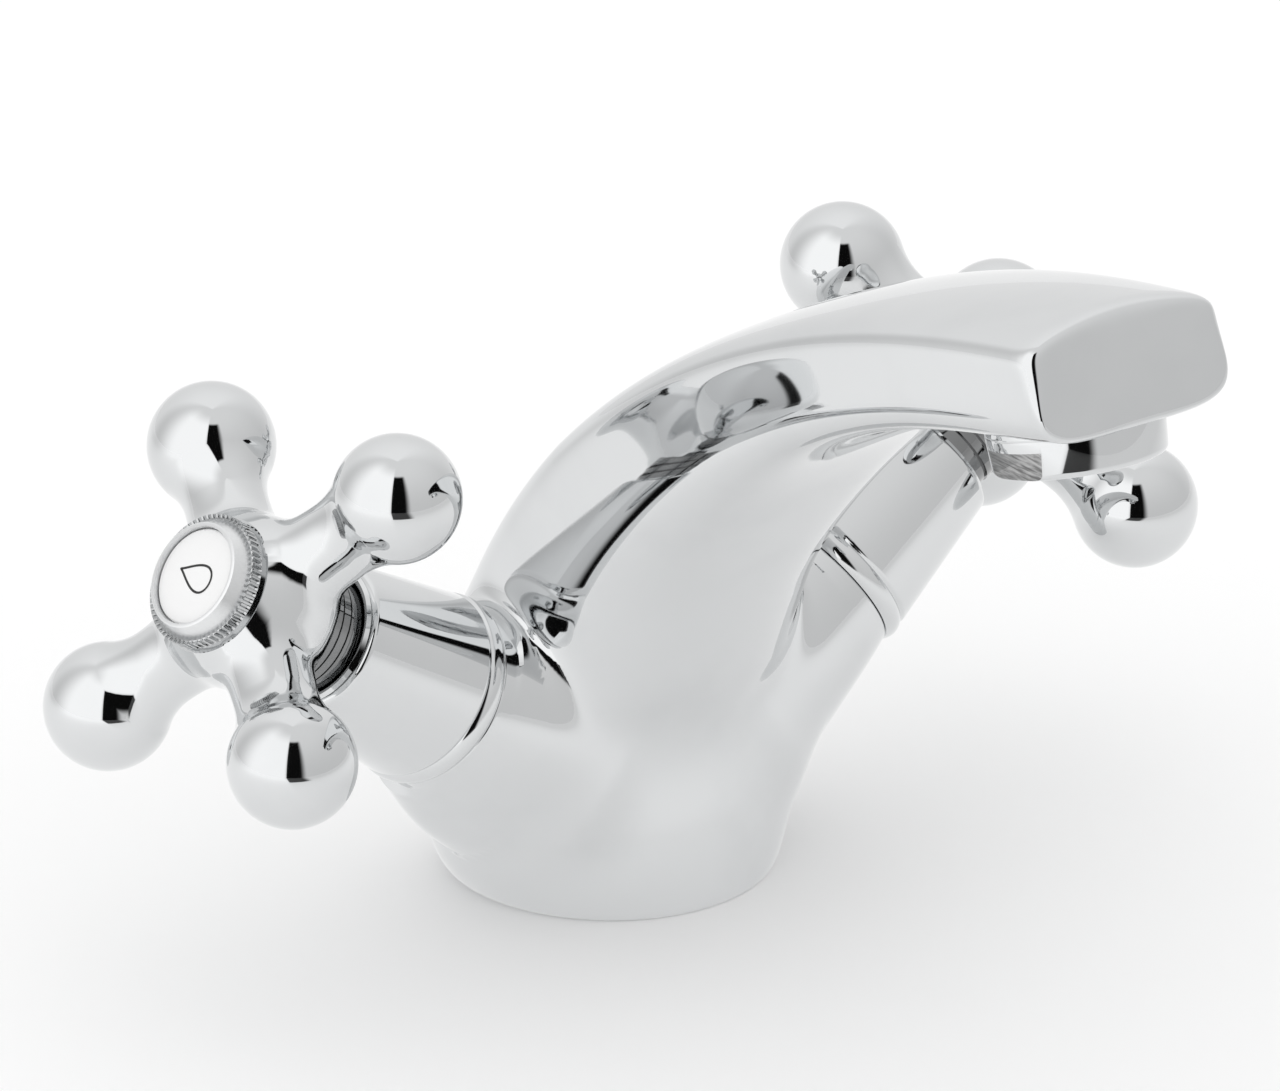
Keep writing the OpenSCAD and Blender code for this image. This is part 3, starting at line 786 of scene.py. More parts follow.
def build_post(bm, top, bottom, top_point, bottom_point):
    """A chain of vertices down the hub between two arms, bulging a little."""
    chain = [top]
    for step in range(1, RIM_COLUMNS):
        f = step / RIM_COLUMNS
        point = mix(top_point, bottom_point, f)
        point[:2] *= 1 + CAGE_BULGE * f * (1 - f)
        chain.append(bm.verts.new(point))
    chain.append(bottom)
    for pair in zip(chain, chain[1:]):
        bm.edges.new(pair)
    return chain


def build_handle():
    """A cage of two rims, four posts and four arms that settles onto its distance, then the plain ends."""
    bm = bmesh.new()
    count = 4 * RIM_COLUMNS
    turn = math.radians(ARM_TURN + 45)
    upper_points = circle_points(*CAGE_TOP, count, turn)
    lower_points = circle_points(*CAGE_BOTTOM, count, turn)
    upper = list(bmesh.ops.create_circle(bm, segments=count, radius=1)["verts"])
    lower = list(bmesh.ops.create_circle(bm, segments=count, radius=1)["verts"])
    place(upper, upper_points)
    place(lower, lower_points)
    posts = []
    for k in range(0, count, RIM_COLUMNS):
        posts.append(build_post(bm, upper[k], lower[k], upper_points[k], lower_points[k]))
    free = upper + lower + [v for post in posts for v in post[1:-1]]
    for k in range(4):
        columns = [(k * RIM_COLUMNS + i) % count for i in range(RIM_COLUMNS + 1)]
        top = [upper[c] for c in columns]
        low = [lower[c] for c in columns]
        loop = top + posts[(k + 1) % 4][1:-1] + low[::-1] + posts[k][-2:0:-1]
        free += build_arm(bm, loop, math.radians(ARM_TURN + 90 * (k + 1)))
    place(free, settle(handle_distance, coordinates(free), 8))
    relax(bm, free, handle_distance, 14)
    close_handle(bm, upper, lower)
    return bm


def build_arm(bm, loop, heading):
    """One arm and ball, from the loop round its root. Returns the vertices that are still to settle."""
    count = len(loop)
    out = np.array([math.cos(heading), math.sin(heading), 0])
    across = np.array([-math.sin(heading), math.cos(heading), 0])
    start = coordinates(loop)
    phase = math.pi * 0.75 - np.arange(count) * 2 * math.pi / count
    spoke = np.cos(phase)[:, None] * across + np.sin(phase)[:, None] * np.array([0, 0, 1.0])
    goal = best_match(start, out * ARM_ROOT_AT + spoke * arm_radius(ARM_ROOT_AT))
    spoke = (goal - out * ARM_ROOT_AT) / arm_radius(ARM_ROOT_AT)
    ring = loop
    free = []
    for k in range(1, ARM_ROOT_RINGS + 1):
        ring = extrude_ring(bm, ring, mix(start, goal, k / ARM_ROOT_RINGS))
        free += ring
    arm_rings = int((TOUCH_AT - ARM_ROOT_AT) / ARM_STEP)
    for u in np.linspace(ARM_ROOT_AT, TOUCH_AT, arm_rings + 1)[1:]:
        ring = extrude_ring(bm, ring, out * u + spoke * arm_radius(u))
    touch_angle = math.acos((TOUCH_AT - BALL_AT) / BALL_R)
    for polar in np.linspace(touch_angle, BALL_TIP, BALL_RINGS + 1)[1:]:
        middle = out * (BALL_AT + BALL_R * math.cos(polar))
        ring = extrude_ring(bm, ring, middle + spoke * BALL_R * math.sin(polar))
    cap(bm, ring).co = out * (BALL_AT + BALL_R)
    return free


def skirt_outline():
    """The skirt's (radius, height) points, down past its grooves and up the spline's bore."""
    outline = [(UNDER_RING_R, HUB_BOTTOM), (SKIRT_R, HUB_BOTTOM)]
    for k in range(SKIRT_GROOVES):
        r = SKIRT_R - SKIRT_STEP * k
        z = HUB_BOTTOM - SKIRT_PLAIN_H - SKIRT_GROOVE_PITCH * k
        floor_r = r - SKIRT_GROOVE_D
        end_z = z - SKIRT_GROOVE_W
        outline += [(r, z), (floor_r, z - SKIRT_GROOVE_SLANT)]
        outline += [(floor_r, end_z + SKIRT_GROOVE_SLANT), (r - SKIRT_STEP, end_z)]
    low_r = SKIRT_R - SKIRT_STEP * SKIRT_GROOVES
    outline += [(low_r, SKIRT_END + SKIRT_CHAMFER), (low_r - SKIRT_CHAMFER, SKIRT_END)]
    return outline + [(SPLINE_R, SKIRT_END), (SPLINE_R, SPLINE_TOP), (SCREW_HOLE_R, SPLINE_TOP)]


def close_handle(bm, upper, lower):
    """The flat top with the ring's bore, and the skirt, which meet in the screw's hole."""
    top = [(FACE_RING_R, HUB_TOP), (STEM_R, HUB_TOP), (STEM_R, STEM_FLOOR), (SCREW_HOLE_R, STEM_FLOOR)]
    above = extrude_outline(bm, upper, level_spokes(upper), top)
    below = extrude_outline(bm, lower, level_spokes(lower), skirt_outline())
    bmesh.ops.bridge_loops(bm, edges=rim(bm, above) + rim(bm, below))


# Smaller turned pieces, each along its own axis

RIM_TO_BALLS = 14.4
RIM_T = BALL_T - RIM_TO_BALLS
COLLAR_H = 3.6
BEAD_AT = 12.5
BEAD_T = 45.2
BEAD_R = 2.2
BEAD_STEPS = 14
VALLEY = 0.12
CONE_R = 13.4
CONE_FOOT = 0.3
RIM_R = 11.3
RIM_ROUND = 0.7
MOUTH_R = 10.1
MOUTH_H = 0.9
MOUTH_SLOPE = 0.3
SHROUD_BORE = 12.7
SHROUD_BORE_H = 3.3
SHROUD_WALL = 1.2
COLLET_T = 53.6
COLLET_R = 7.05
COLLET_H = 2.5

RING_R = 10
RING_NECK_H = 0.8
RING_NECK_D = 0.5
RING_CHAMFER = 0.2
RING_STEM_H = 4.4
RING_STEM_GAP = 0.05
RING_BORE_R = 5
KNURL_H = 2.1
KNURL_TEETH = 64
KNURL_DEPTH = 0.3
KNURL_STEEPNESS = 1.8
KNURL_MARGIN = 0.25
SHOULDER_H = 1.3
RING_TOP = HUB_TOP + RING_NECK_H + KNURL_H + SHOULDER_H

DISC_R = 7.25
DISC_H = 1
DISC_GAP = 0.03
DISC_GROOVE = 0.12
DISC_UNDER_R = 6
DISC_EDGE = ((DISC_GAP, DISC_H), (DISC_GAP, 0.25), (0.2, 0.12))
DISC_CROWN = 0.1
DISC_CROWN_RINGS = (6.4, 5.2, 4, 2.8, 1.6, 0.6)
DROP_W = 2.9
DROP_H = 3.4
DROP_LINE = 0.36
DROP_LIFT = 0.012
DROP_STEPS = 72

AERATOR_R = 12
AERATOR_H = 7.4
AERATOR_LIP = 0.8
AERATOR_THREAD_R = 11
AERATOR_THREAD_H = 6.8
AERATOR_BORE_GAP = 0.05
AERATOR_BORE_H = 8
AERATOR_INNER_R = 9.2
AERATOR_SHOULDER_H = 0.3
AERATOR_LINE_H = 1.9
AERATOR_LINE_W = 0.55
AERATOR_LINE_D = 0.18
AERATOR_LINE_SLOPE = 0.15
AERATOR_FLATS = 22.6
AERATOR_FLAT_H = 3.6
AERATOR_BACK = 15
AERATOR_SINK = 2.2
AERATOR_TILT = math.radians(15.9)
SPOT_FACE_R = 12.3


def build_shroud():
    """A rounded collar over the socket's end, then a hollow cone up to the mouth round the skirt."""
    collar_t = SOCKET_END_T + COLLAR_H
    outline = [(SHROUD_BORE, SOCKET_END_T)]
    low = math.asin((SOCKET_END_T - BEAD_T) / BEAD_R)
    high = math.asin((collar_t - BEAD_T) / BEAD_R)
    for turn in np.linspace(low, high, BEAD_STEPS):
        outline.append((BEAD_AT + BEAD_R * math.cos(turn), BEAD_T + BEAD_R * math.sin(turn)))
    inside = mix(CONE_R, RIM_R, (COLLET_T - collar_t) / (RIM_T - collar_t)) - SHROUD_WALL
    cone = [
        (CONE_R - VALLEY, collar_t + VALLEY, 0.05),
        (CONE_R, collar_t + CONE_FOOT, 0.1),
        (RIM_R, RIM_T, RIM_ROUND),
        (MOUTH_R, RIM_T, 0.15),
        (MOUTH_R, RIM_T - MOUTH_H, 0),
        (RIM_R - SHROUD_WALL, RIM_T - MOUTH_H - MOUTH_SLOPE, 0),
        (inside, COLLET_T + COLLET_H, 0.5),
        (COLLET_R, COLLET_T + COLLET_H, 0),
        (COLLET_R, COLLET_T, 0),
        (inside, COLLET_T, 0),
        (CONE_R - SHROUD_WALL, collar_t, 0),
        (SHROUD_BORE, SOCKET_END_T + SHROUD_BORE_H, 0),
    ]
    return turned(outline + rounded(cone, 6), 128)


def build_index_ring():
    """A stem in the hub, an undercut neck, a knurled band and a coned shoulder round the disc."""
    band = HUB_TOP + RING_NECK_H
    shoulder = band + KNURL_H
    stem_r = STEM_R - RING_STEM_GAP
    neck_r = RING_R - RING_NECK_D
    groove_r = DISC_R + DISC_GROOVE
    outline = [
        (RING_BORE_R, HUB_TOP - RING_STEM_H, 0),
        (stem_r, HUB_TOP - RING_STEM_H, 0.3),
        (stem_r, HUB_TOP, 0),
        (neck_r, HUB_TOP, 0),
        (neck_r, band - RING_CHAMFER, 0),
        (RING_R - RING_CHAMFER, band, 0),
        (RING_R, band + KNURL_MARGIN, 0),
        (RING_R, shoulder - KNURL_MARGIN, 0),
        (RING_R - 0.1, shoulder, 0),
        (RING_R - 0.4, shoulder + 0.1, 0.1),
        (DISC_R + 0.35, RING_TOP - 0.03, 0.3),
        (groove_r, RING_TOP - 0.05, 0),
        (groove_r, RING_TOP - DISC_H, 0),
        (RING_BORE_R, RING_TOP - DISC_H, 0),
    ]
    bm = turned(rounded(outline), 6 * KNURL_TEETH)
    for vert in bm.verts:
        radius = math.hypot(vert.co.x, vert.co.y)
        if radius > RING_R - 0.01:
            wave = KNURL_STEEPNESS * math.cos(KNURL_TEETH * math.atan2(vert.co.y, vert.co.x))
            vert.co.xy *= 1 + KNURL_DEPTH * (max(-1, min(1, wave)) - 1) / radius
    return bm


def build_index_disc():
    """A slightly crowned disc with a rounded edge, and the drop on it."""
    edge_r = DISC_R - DISC_GAP
    bm = bmesh.new()
    bmesh.ops.create_circle(bm, segments=96, radius=edge_r)
    ring = list(bm.verts)
    spoke = coordinates(ring) / edge_r
    place(ring, spoke * DISC_UNDER_R + [0, 0, RING_TOP - DISC_H])
    cap(bm, ring)
    outline = [(DISC_R - inset, RING_TOP - depth) for inset, depth in DISC_EDGE]
    outline += [(radius, RING_TOP - DISC_CROWN * (radius / DISC_R) ** 2) for radius in DISC_CROWN_RINGS]
    cap(bm, extrude_outline(bm, ring, spoke, outline)).co.z = RING_TOP
    add_drop(bm, RING_TOP + DROP_LIFT)
    return bm


def add_drop(bm, height):
    """A water drop drawn in one thin line, flat on the disc, in the piece's second material."""
    turn = np.linspace(0, 2 * math.pi, DROP_STEPS, endpoint=False)
    line = np.stack([DROP_W * np.sin(turn) * np.sin(turn / 2) ** 1.5, DROP_H * np.cos(turn)], axis=1)
    along = np.roll(line, -1, axis=0) - np.roll(line, 1, axis=0)
    along /= np.linalg.norm(along, axis=1, keepdims=True)
    beside = np.stack([along[:, 1], -along[:, 0]], axis=1) * DROP_LINE / 2
    heights = np.full(DROP_STEPS, height)
    ring = list(bmesh.ops.create_circle(bm, segments=DROP_STEPS, radius=DROP_H)["verts"])
    place(ring, np.column_stack([line + beside, heights]))
    extrude_ring(bm, ring, np.column_stack([line - beside, heights]))
    for vert in ring:
        for face in vert.link_faces:
            face.material_index = 1


def build_aerator_housing():
    """A threaded neck, then a plain band with a turned line and a small lip inside its lower edge."""
    line_r = AERATOR_R - AERATOR_LINE_D
    lip_r = AERATOR_INNER_R - AERATOR_LIP
    outline = [
        (AERATOR_INNER_R, -AERATOR_THREAD_H, 0),
        (AERATOR_THREAD_R, -AERATOR_THREAD_H, 0.4),
        (AERATOR_THREAD_R, AERATOR_SHOULDER_H, 0),
        (AERATOR_R, AERATOR_SHOULDER_H, 0.35),
        (AERATOR_R, AERATOR_LINE_H, 0.12),
        (line_r, AERATOR_LINE_H + AERATOR_LINE_SLOPE, 0),
        (line_r, AERATOR_LINE_H + AERATOR_LINE_W - AERATOR_LINE_SLOPE, 0),
        (AERATOR_R, AERATOR_LINE_H + AERATOR_LINE_W, 0.12),
        (AERATOR_R, AERATOR_H, 0.45),
        (lip_r, AERATOR_H, 0.3),
        (lip_r, AERATOR_H - AERATOR_LIP, 0),
        (AERATOR_INNER_R, AERATOR_H - AERATOR_LIP, 0),
    ]
    return turned(rounded(outline), 128)


# Materials


class Shade:
    """One output of a node tree. Sums with it add Math nodes, and its methods add other nodes."""

    def __init__(self, tree, socket):
        self.tree = tree
        self.socket = socket

    def node(self, kind, settings=None, **inputs):
        """A node of any kind: its settings first, then its inputs, by name or as i0, i1 and so on."""
        made = self.tree.nodes.new(kind)
        for key, value in (settings or {}).items():
            setattr(made, key, value)
        for key, value in inputs.items():
            numbered = key[0] == "i" and key[1:].isdigit()
            self.feed(made.inputs[int(key[1:]) if numbered else key.replace("_", " ")], value)
        return made

    def feed(self, socket, value):
        """Links another output to a socket, or sets the socket to a plain value."""
        if isinstance(value, Shade):
            self.tree.links.new(value.socket, socket)
        else:
            socket.default_value = value

    def out(self, made, name=0):
        return Shade(self.tree, made.outputs[name])

    def math(self, operation, *others):
        """What a Math node makes of this value and the others."""
        inputs = {f"i{number}": value for number, value in enumerate((self, *others))}
        return self.out(self.node("ShaderNodeMath", {"operation": operation}, **inputs))

    def __add__(self, other):
        return self.math("ADD", other)

    def __sub__(self, other):
        return self.math("SUBTRACT", other)

    def __mul__(self, other):
        return self.math("MULTIPLY", other)

    def __rsub__(self, other):
        """A number less this value: this value times -1, plus the number."""
        return self.math("MULTIPLY_ADD", -1.0, other)

    __radd__ = __add__
    __rmul__ = __mul__

    def step(self, low, high):
        """Smoothly from 0 at low to 1 at high."""
        settings = {"interpolation_type": "SMOOTHSTEP"}
        return self.out(self.node("ShaderNodeMapRange", settings, Value=self, From_Min=low, From_Max=high))

    def blend(self, first, second):
        """From one colour to another by this value."""
        made = self.node("ShaderNodeMix", {"data_type": "RGBA"}, i0=self, i6=first, i7=second)
        return self.out(made, 2)

    def noise(self, scale, detail=3.0, roughness=0.5):
        made = self.node("ShaderNodeTexNoise", Vector=self, Scale=scale, Detail=detail, Roughness=roughness)
        return self.out(made, "Fac")

    def bump(self, strength, distance):
        made = self.node("ShaderNodeBump", Height=self, Strength=strength, Distance=distance)
        return self.out(made, "Normal")


def start_material(name, **constants):
    """A material with its shader's plain values, and the place on the piece as a Shade."""
    material = bpy.data.materials.new(name)
    material.use_nodes = True
    tree = material.node_tree
    shader = tree.nodes["Principled BSDF"]
    for key, value in constants.items():
        shader.inputs[key.replace("_", " ")].default_value = value
    place_node = tree.nodes.new("ShaderNodeTexCoord")
    return material, shader, Shade(tree, place_node.outputs["Object"])


def toned(red, green, blue, tone=1.0):
    """An opaque colour, darker for a tone below 1."""
    return (red * tone, green * tone, blue * tone, 1.0)


def grey(value):
    return (value, value, value, 1.0)


def polished_chrome(name="polished_chrome", shine=0.035, tone=1.0):
    """Bright plating, with a trace of polishing haze and the faint waves of the casting under it."""
    material, shader, at = start_material(name, Metallic=1.0)
    haze = at.noise(55, 4).step(0.45, 0.8)
    color = haze.blend(toned(0.7, 0.71, 0.716, tone), toned(0.67, 0.68, 0.687, tone))
    at.feed(shader.inputs["Roughness"], shine + haze * 0.02)
    at.feed(shader.inputs["Base Color"], color)
    at.feed(shader.inputs["Normal"], at.noise(70, 2).bump(0.02, 0.0004))
    return material


def satin_chrome():
    """Plating over a fine turned grain that blurs what it mirrors."""
    material, shader, at = start_material("satin_chrome", Metallic=1.0)
    fine = at.noise(2600, 3)
    at.feed(shader.inputs["Roughness"], 0.27 + fine * 0.1)
    at.feed(shader.inputs["Base Color"], fine.blend(toned(0.8, 0.808, 0.813), toned(0.74, 0.747, 0.752)))
    at.feed(shader.inputs["Normal"], fine.bump(0.1, 0.00002))
    return material


def enamel():
    """Glossy white, very slightly uneven."""
    material, shader, at = start_material("enamel", IOR=1.5)
    cloud = at.noise(300, 2)
    at.feed(shader.inputs["Roughness"], 0.1 + cloud * 0.08)
    at.feed(shader.inputs["Base Color"], cloud.blend(grey(0.92), grey(0.94)))
    return material


def grained(name, metallic, rough, first, second, scale, relief, depth, streak=1.0):
    """A finish whose two colours, gloss and relief follow one grain, drawn out along Y by streak."""
    material, shader, at = start_material(name, Metallic=metallic)
    drawn = at.node("ShaderNodeVectorMath", {"operation": "MULTIPLY"}, i0=at, i1=(1, 1 / streak, 1))
    grain = at.out(drawn).noise(scale, 4, 0.6)
    at.feed(shader.inputs["Base Color"], grain.step(0.3, 0.7).blend(first, second))
    at.feed(shader.inputs["Roughness"], rough + grain * 0.15)
    at.feed(shader.inputs["Normal"], grain.bump(relief, depth))
    return material


YELLOW_BRASS = toned(0.78, 0.6, 0.3)
DULL_BRASS = toned(0.62, 0.46, 0.22)
RED_FIBRE = toned(0.42, 0.13, 0.07)
DARK_FIBRE = toned(0.3, 0.09, 0.05)

# The record's material slots, and the finishes of some pieces and of parts of them; the two darker copies
# of the chrome paint shade
MATERIALS = {
    "chrome": polished_chrome(),
    # The skirt's chrome at about a third of its brightness: painted shade down in the shroud
    "skirt_painted_shade": polished_chrome("painted_shade_plating", 0.05, 0.35),
    # The knurled band's chrome, rougher and at 0.8 of its brightness: the darkening is painted shade in its
    # teeth and neck
    "knurl_painted_shade": polished_chrome("knurled_painted_shade_plating", 0.08, 0.8),
    "satin": satin_chrome(),
    "enamel": enamel(),
    "ink": grained("black_ink", 0.0, 0.3, grey(0.012), grey(0.02), 900, 0.02, 0.00001),
    "brushed": grained("brushed_chrome", 1.0, 0.25, grey(0.5), grey(0.16), 2400, 0.4, 0.00006, 9),
    "brass": grained("turned_brass", 1.0, 0.2, YELLOW_BRASS, DULL_BRASS, 900, 0.1, 0.00003),
    "steel": grained("plain_steel", 1.0, 0.25, grey(0.62), grey(0.5), 1200, 0.1, 0.00002),
    "rubber": grained("black_rubber", 0.0, 0.6, grey(0.02), grey(0.035), 1500, 0.2, 0.00005),
    "fibre": grained("red_fibre", 0.0, 0.75, RED_FIBRE, DARK_FIBRE, 1100, 0.4, 0.0001),
    "ceramic": grained("lapped_ceramic", 0.0, 0.2, grey(0.86), grey(0.8), 700, 0.05, 0.00002),
    "plastic": grained("moulded_plastic", 0.0, 0.4, grey(0.7), grey(0.64), 800, 0.1, 0.00003),
}


# Assembly

# How far a cutter reaches past the surface that it cuts, and the size of the blocks that cut the flats
CUT_PAST = 1
FLAT_CUT_D = 5
FLAT_CUT_W = 40


def aerator_matrix():
    """Places a shape on the aerator's axis, with +Z pointing down out of the spout."""
    along = np.array([-math.cos(AERATOR_TILT), math.sin(AERATOR_TILT)])
    up = np.array([math.sin(AERATOR_TILT), math.cos(AERATOR_TILT)])
    seat = END_BOTTOM - AERATOR_BACK * along + AERATOR_SINK * up
    return Matrix.Translation((0, seat[0], seat[1])) @ Matrix.Rotation(math.pi - AERATOR_TILT, 4, "X")


def dress(piece, body, slot, finish, *nodes):
    piece.data.materials.append(MATERIALS[finish])
    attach(piece, body)
    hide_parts(*nodes)
    return piece


def make_body():
    """The casting, with the aerator's bore and spot face, two supply inlets and the stud's hole."""
    aerator = aerator_matrix()
    cutters = [drill(AERATOR_THREAD_R + AERATOR_BORE_GAP, -AERATOR_BORE_H, CUT_PAST, aerator)]
    cutters.append(drill(SPOT_FACE_R, 0, AERATOR_H, aerator, 128))
    inlets = [(INLET_R, INLET_H, x, VALVE_Y) for x in (-INLET_X, INLET_X)]
    for radius, depth, x, y in inlets + [(STUD_R, STUD_H, 0, STUD_Y)]:
        low = RECESS_H - CUT_PAST
        cutters.append(drill(radius, low, RECESS_H + depth, Matrix.Translation((x, y, 0))))
    casting = make_piece("body_casting", build_body(), body_distance)
    dress(boolean_cut(casting, cutters, body_distance), "root", "chrome", "chrome", "body")


def make_aerator():
    """The housing with its two spanner flats, which are brushed."""
    bm = build_aerator_housing()
    bmesh.ops.transform(bm, matrix=aerator_matrix(), verts=bm.verts)
    flat_x = AERATOR_FLATS / 2
    cutters = []
    for near, far in ((flat_x, flat_x + FLAT_CUT_D), (-flat_x - FLAT_CUT_D, -flat_x)):
        low = (near, -FLAT_CUT_W / 2, AERATOR_H - AERATOR_FLAT_H)
        high = (far, FLAT_CUT_W / 2, AERATOR_H + CUT_PAST)
        cutters.append(block(low, high, aerator_matrix()))
    piece = boolean_cut(make_piece("aerator_housing_finish", bm), cutters)
    dress(piece, "root", "chrome", "chrome", "aerator_housing")
    piece.data.materials.append(MATERIALS["brushed"])
    for face in piece.data.polygons:
        if abs(face.normal.x) > 0.99 and abs(abs(face.center.x) - flat_x * MM) < 0.02 * MM:
            face.material_index = 1


def raised(bm, height):
    bmesh.ops.translate(bm, vec=(0, 0, height), verts=bm.verts)
    return bm


class Valve:
    """One side's valve, on which pieces are placed from their own Z axis."""

    def __init__(self, side):
        self.side = side
        self.body = f"{side}_valve"
        self.matrix = valve_matrix(-1 if side == "left" else 1)

    def own_distance(self, distance):
        """A distance about the valve's axis, from one about Z with the balls in the plane Z = 0."""
        inverse = self.matrix.inverted()
        return lambda points: distance(moved(points, inverse) - [0, 0, BALL_T])

    def add(self, part, bm, body, slot, finish, distance=None):
        """A piece that stands for this side's node of the same part."""
        bmesh.ops.transform(bm, matrix=self.matrix, verts=bm.verts)
        piece = make_piece(f"{self.side}_{part}_finish", bm, distance)
        return dress(piece, body, slot, finish, f"{self.side}_{part}")

    def refinish(self, piece, finish, heights, radii):
        """Gives a second material to the faces between two heights from the balls and two radii."""
        inverse = self.matrix.inverted()
        piece.data.materials.append(MATERIALS[finish])
        for face in piece.data.polygons:
            local = inverse @ (face.center / MM)
            radius = math.hypot(local.x, local.y)
            if heights[0] < local.z - BALL_T < heights[1] and radii[0] < radius < radii[1]:
                face.material_index = 1


def make_valve(side):
    """The shroud, and the handle with its ring and disc."""
    valve = Valve(side)
    valve.add("shroud", build_shroud(), "root", "chrome", "chrome")
    casting = raised(build_handle(), BALL_T)
    surface = valve.own_distance(handle_distance)
    handle = valve.add("handle", casting, valve.body, "chrome", "chrome", surface)
    # The skirt gets the much darker copy of the chrome: painted shade
    skirt_heights = (SKIRT_END - 1, HUB_BOTTOM - 0.02)
    skirt_radii = (SPLINE_R + 0.2, SKIRT_R + 0.4)
    valve.refinish(handle, "skirt_painted_shade", skirt_heights, skirt_radii)
    ring = valve.add("index_ring", raised(build_index_ring(), BALL_T), valve.body, "chrome", "satin")
    # The knurled band and its neck get a darker, rougher copy of the chrome: the darkening is painted shade
    band_heights = (HUB_TOP - 0.1, HUB_TOP + RING_NECK_H + KNURL_H - 0.05)
    band_radii = (RING_R - RING_NECK_D - 0.2, RING_R + 1)
    valve.refinish(ring, "knurl_painted_shade", band_heights, band_radii)
    disc = valve.add("index_disc", raised(build_index_disc(), BALL_T), valve.body, "enamel", "enamel")
    disc.data.materials.append(MATERIALS["ink"])


make_body()
for valve_side in ("left", "right"):
    make_valve(valve_side)
make_aerator()

slots = {part["node"]: part["material_slot"] for part in frame["record"]["subparts"]}
for node_name, node in frame["nodes"].items():
    node.data.materials.clear()
    node.data.materials.append(MATERIALS[slots[node_name]])


# Camera and stage


def make_camera():
    azimuth = math.radians(CAMERA_AZIMUTH)
    elevation = math.radians(CAMERA_ELEVATION)
    roll = math.radians(CAMERA_ROLL)
    right = Vector((math.cos(azimuth), math.sin(azimuth), 0))
    towards = Vector((
        math.sin(azimuth) * math.cos(elevation),
        -math.cos(azimuth) * math.cos(elevation),
        math.sin(elevation),
    ))
    up = towards.cross(right)
    rolled_right = math.cos(roll) * right + math.sin(roll) * up
    rolled_up = -math.sin(roll) * right + math.cos(roll) * up
    data = bpy.data.cameras.new("photo_camera")
    data.sensor_fit = "HORIZONTAL"
    data.sensor_width = SENSOR_W
    data.lens = CAMERA_FOCAL_PX / PHOTO_W * SENSOR_W
    data.clip_start = 0.05
    data.clip_end = 50
    camera = bpy.data.objects.new("photo_camera", data)
    bpy.context.collection.objects.link(camera)
    stand = towards * CAMERA_DISTANCE + rolled_right * CAMERA_AIM_RIGHT + rolled_up * CAMERA_AIM_UP
    turn = Matrix((rolled_right, rolled_up, towards)).transposed()
    camera.matrix_world = Matrix.Translation(stand * MM) @ turn.to_4x4()
    bpy.context.scene.camera = camera


# Soft edges of the mirrored studio, each a pair of values between which it fades. A heading is in
# degrees round the object from its front towards its right, a rise in degrees above the floor, and
# a reach in metres over the floor. The tent's rise is a share of straight up
BOARD_LEFT = (-48, -46.5)
BOARD_RIGHT = (-24, -12)
BOARD_TOP = (58, 63)
BOARD_REACH = (0.36, 0.4)
LIGHT_LEFT = (-150, -105)
LIGHT_RIGHT = (-52, -44)
LIGHT_TOP = (55, 80)
BACK_RIGHT = (70, 120)
BACK_LEFT = (-175, -150)
WALL_RISE = (0, 75)
LIT_SIDE_LEFT = (-170, -95)
LIT_SIDE_RIGHT = (-75, 0)
FAR_REACH = (0.1, 0.65)
TENT_RISE = (-0.1, 0.75)

# What the camera and the object's plain surfaces see
FLOOR_WHITE = (grey(0.965), grey(0.975))
TENT_WHITE = (grey(0.96), grey(1.04))

# What polished metal mirrors
LIGHT = grey(1.28)
BOARD = grey(0.004)
WALLS = (grey(0.72), grey(1.06))
# The paper's second value near the object, and PAPER_LIT further out, are painted light on the side where
# the studio's light falls
PAPER_NEAR = (grey(0.48), grey(0.5))
PAPER_FAR = (grey(0.37), grey(0.445))
PAPER_LIT = grey(0.6)
PAPER_BOARD = grey(0.01)

FLOOR_R = 6000
FLOOR_DROP = 0.05
STUDIO_R = 2500


def place_round(at):
    """Heading and rise in degrees, and reach in metres."""
    parts = at.node("ShaderNodeSeparateXYZ", Vector=at)
    x, y, z = (at.out(parts, axis) for axis in "XYZ")
    reach = (x * x + y * y).math("SQRT")
    degrees = math.degrees(1)
    return x.math("ARCTAN2", y * -1) * degrees, z.math("ARCTAN2", reach) * degrees, reach


def between(value, first, last):
    """1 between two soft edges and 0 outside them."""
    return value.step(*first) * (1 - value.step(*last))


def at_back(heading):
    """How far a heading lies behind the object, where the studio is paler."""
    return heading.step(*BACK_RIGHT) + (1 - heading.step(*BACK_LEFT))


def grey_paper(heading, reach):
    """The floor as polished metal sees it: grey paper, painted paler on the side where the studio's light
    falls, with a dark board round the camera.
    """
    # Paler on the lit side: painted light
    near = between(heading, LIT_SIDE_LEFT, LIT_SIDE_RIGHT).blend(*PAPER_NEAR)
    far = at_back(heading).blend(*PAPER_FAR)
    far = between(heading, LIGHT_LEFT, LIGHT_RIGHT).blend(far, PAPER_LIT)
    paper = reach.step(*FAR_REACH).blend(near, far)
    board = between(heading, BOARD_LEFT, BOARD_RIGHT) * reach.step(*BOARD_REACH)
    return board.blend(paper, PAPER_BOARD)


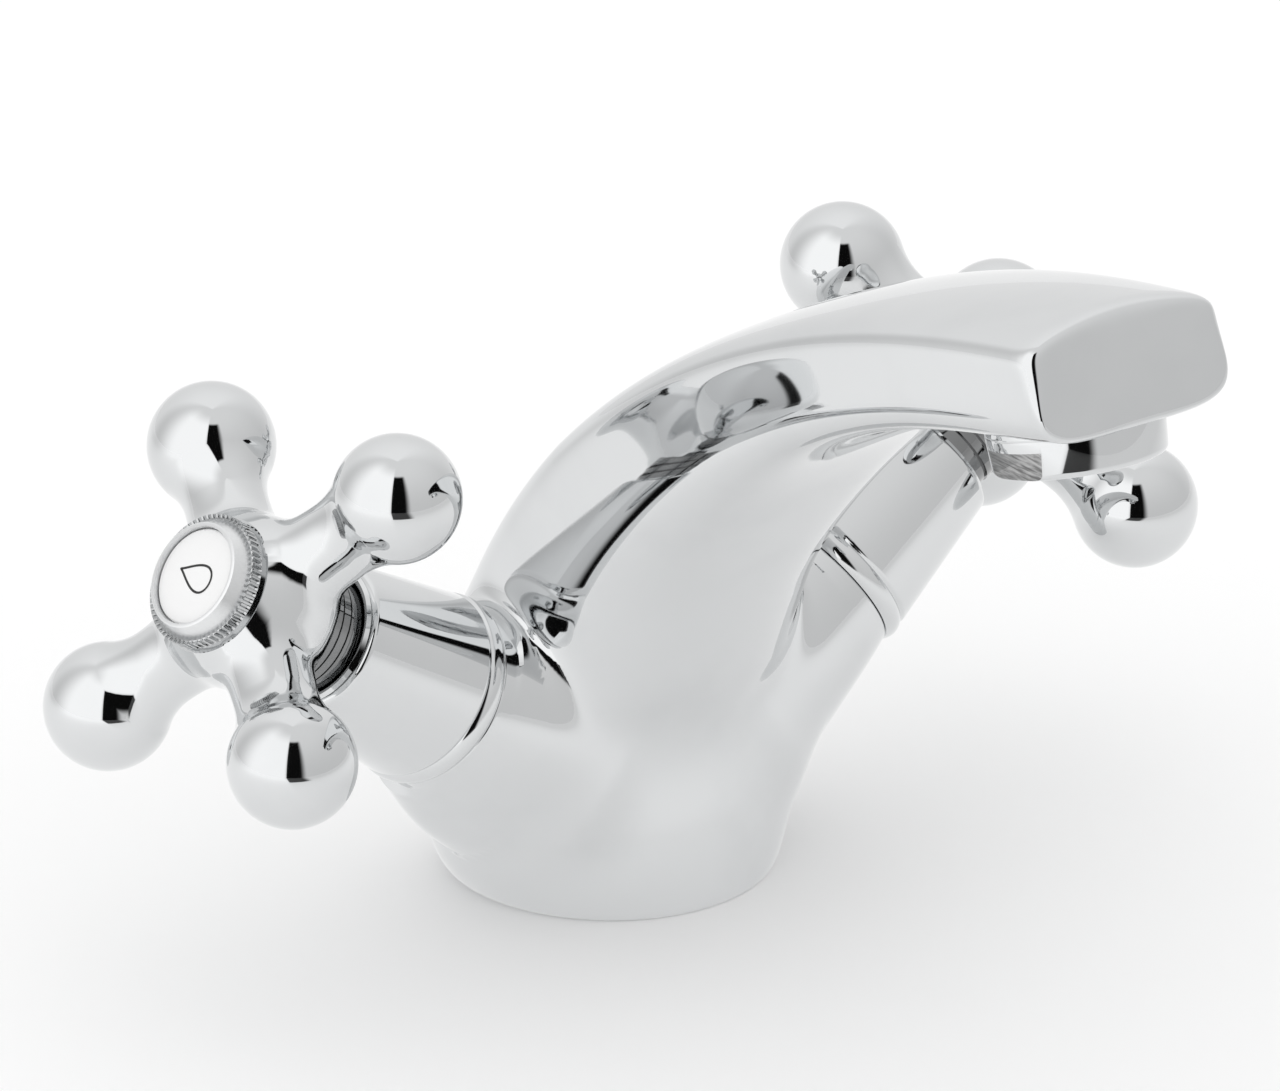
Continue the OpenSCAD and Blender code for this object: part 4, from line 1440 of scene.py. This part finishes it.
def make_floor():
    """A white floor. In reflections it is grey paper that glows a little, which lightens the object's
    shadow in it: painted light.
    """
    bm = bmesh.new()
    bmesh.ops.create_circle(bm, cap_ends=True, segments=64, radius=FLOOR_R)
    bmesh.ops.translate(bm, vec=(0, 0, -FLOOR_DROP), verts=bm.verts)
    floor = make_piece("floor", bm)
    material, shader, at = start_material("pale_floor", Roughness=0.9, Emission_Strength=1.0)
    heading, _, reach = place_round(at)
    paper = grey_paper(heading, reach)
    white = at.noise(3).blend(*FLOOR_WHITE)
    mirrored = at.out(at.node("ShaderNodeLightPath"), "Is Glossy Ray")
    at.feed(shader.inputs["Base Color"], mirrored.blend(white, paper))
    at.feed(shader.inputs["Emission Color"], mirrored.blend(grey(0), paper))
    floor.data.materials.append(material)


def make_world():
    """An even white surrounding, a little paler above, that lights the object."""
    world = bpy.data.worlds.new("studio")
    world.use_nodes = True
    tree = world.node_tree
    direction = Shade(tree, tree.nodes.new("ShaderNodeTexCoord").outputs["Generated"])
    height = direction.out(direction.node("ShaderNodeSeparateXYZ", Vector=direction), "Z")
    tent = height.step(*TENT_RISE).blend(*TENT_WHITE)
    rays = direction.node("ShaderNodeLightPath")
    seen = direction.out(rays, "Is Camera Ray") + direction.out(rays, "Is Glossy Ray")
    seen = (seen + direction.out(rays, "Is Transmission Ray")).math("MINIMUM", 1.0)
    direction.feed(tree.nodes["Background"].inputs["Color"], seen.blend(tent, grey(1.0)))
    bpy.context.scene.world = world


def make_studio():
    """The studio that polished metal mirrors: grey walls, one large soft light and a dark board."""
    bm = bmesh.new()
    bmesh.ops.create_uvsphere(bm, u_segments=96, v_segments=48, radius=STUDIO_R)
    studio = make_piece("studio_walls", bm)
    plain = {"Base_Color": grey(0), "Roughness": 1.0, "Specular_IOR_Level": 0.0}
    material, shader, at = start_material("studio_walls", Emission_Strength=1.0, **plain)
    heading, rise, _ = place_round(at)
    walls = (rise.step(*WALL_RISE) * 0.5 + at_back(heading) * 0.5).blend(*WALLS)
    light = between(heading, LIGHT_LEFT, LIGHT_RIGHT) * (1 - rise.step(*LIGHT_TOP))
    board = between(heading, BOARD_LEFT, BOARD_RIGHT) * (1 - rise.step(*BOARD_TOP))
    seen = board.blend(light.blend(walls, LIGHT), BOARD)
    at.feed(shader.inputs["Emission Color"], seen)
    studio.data.materials.append(material)
    studio.visible_camera = False
    studio.visible_diffuse = False
    studio.visible_shadow = False
    studio.visible_transmission = False


make_camera()
make_floor()
make_world()
make_studio()

bpy.context.scene.view_settings.view_transform = "Standard"
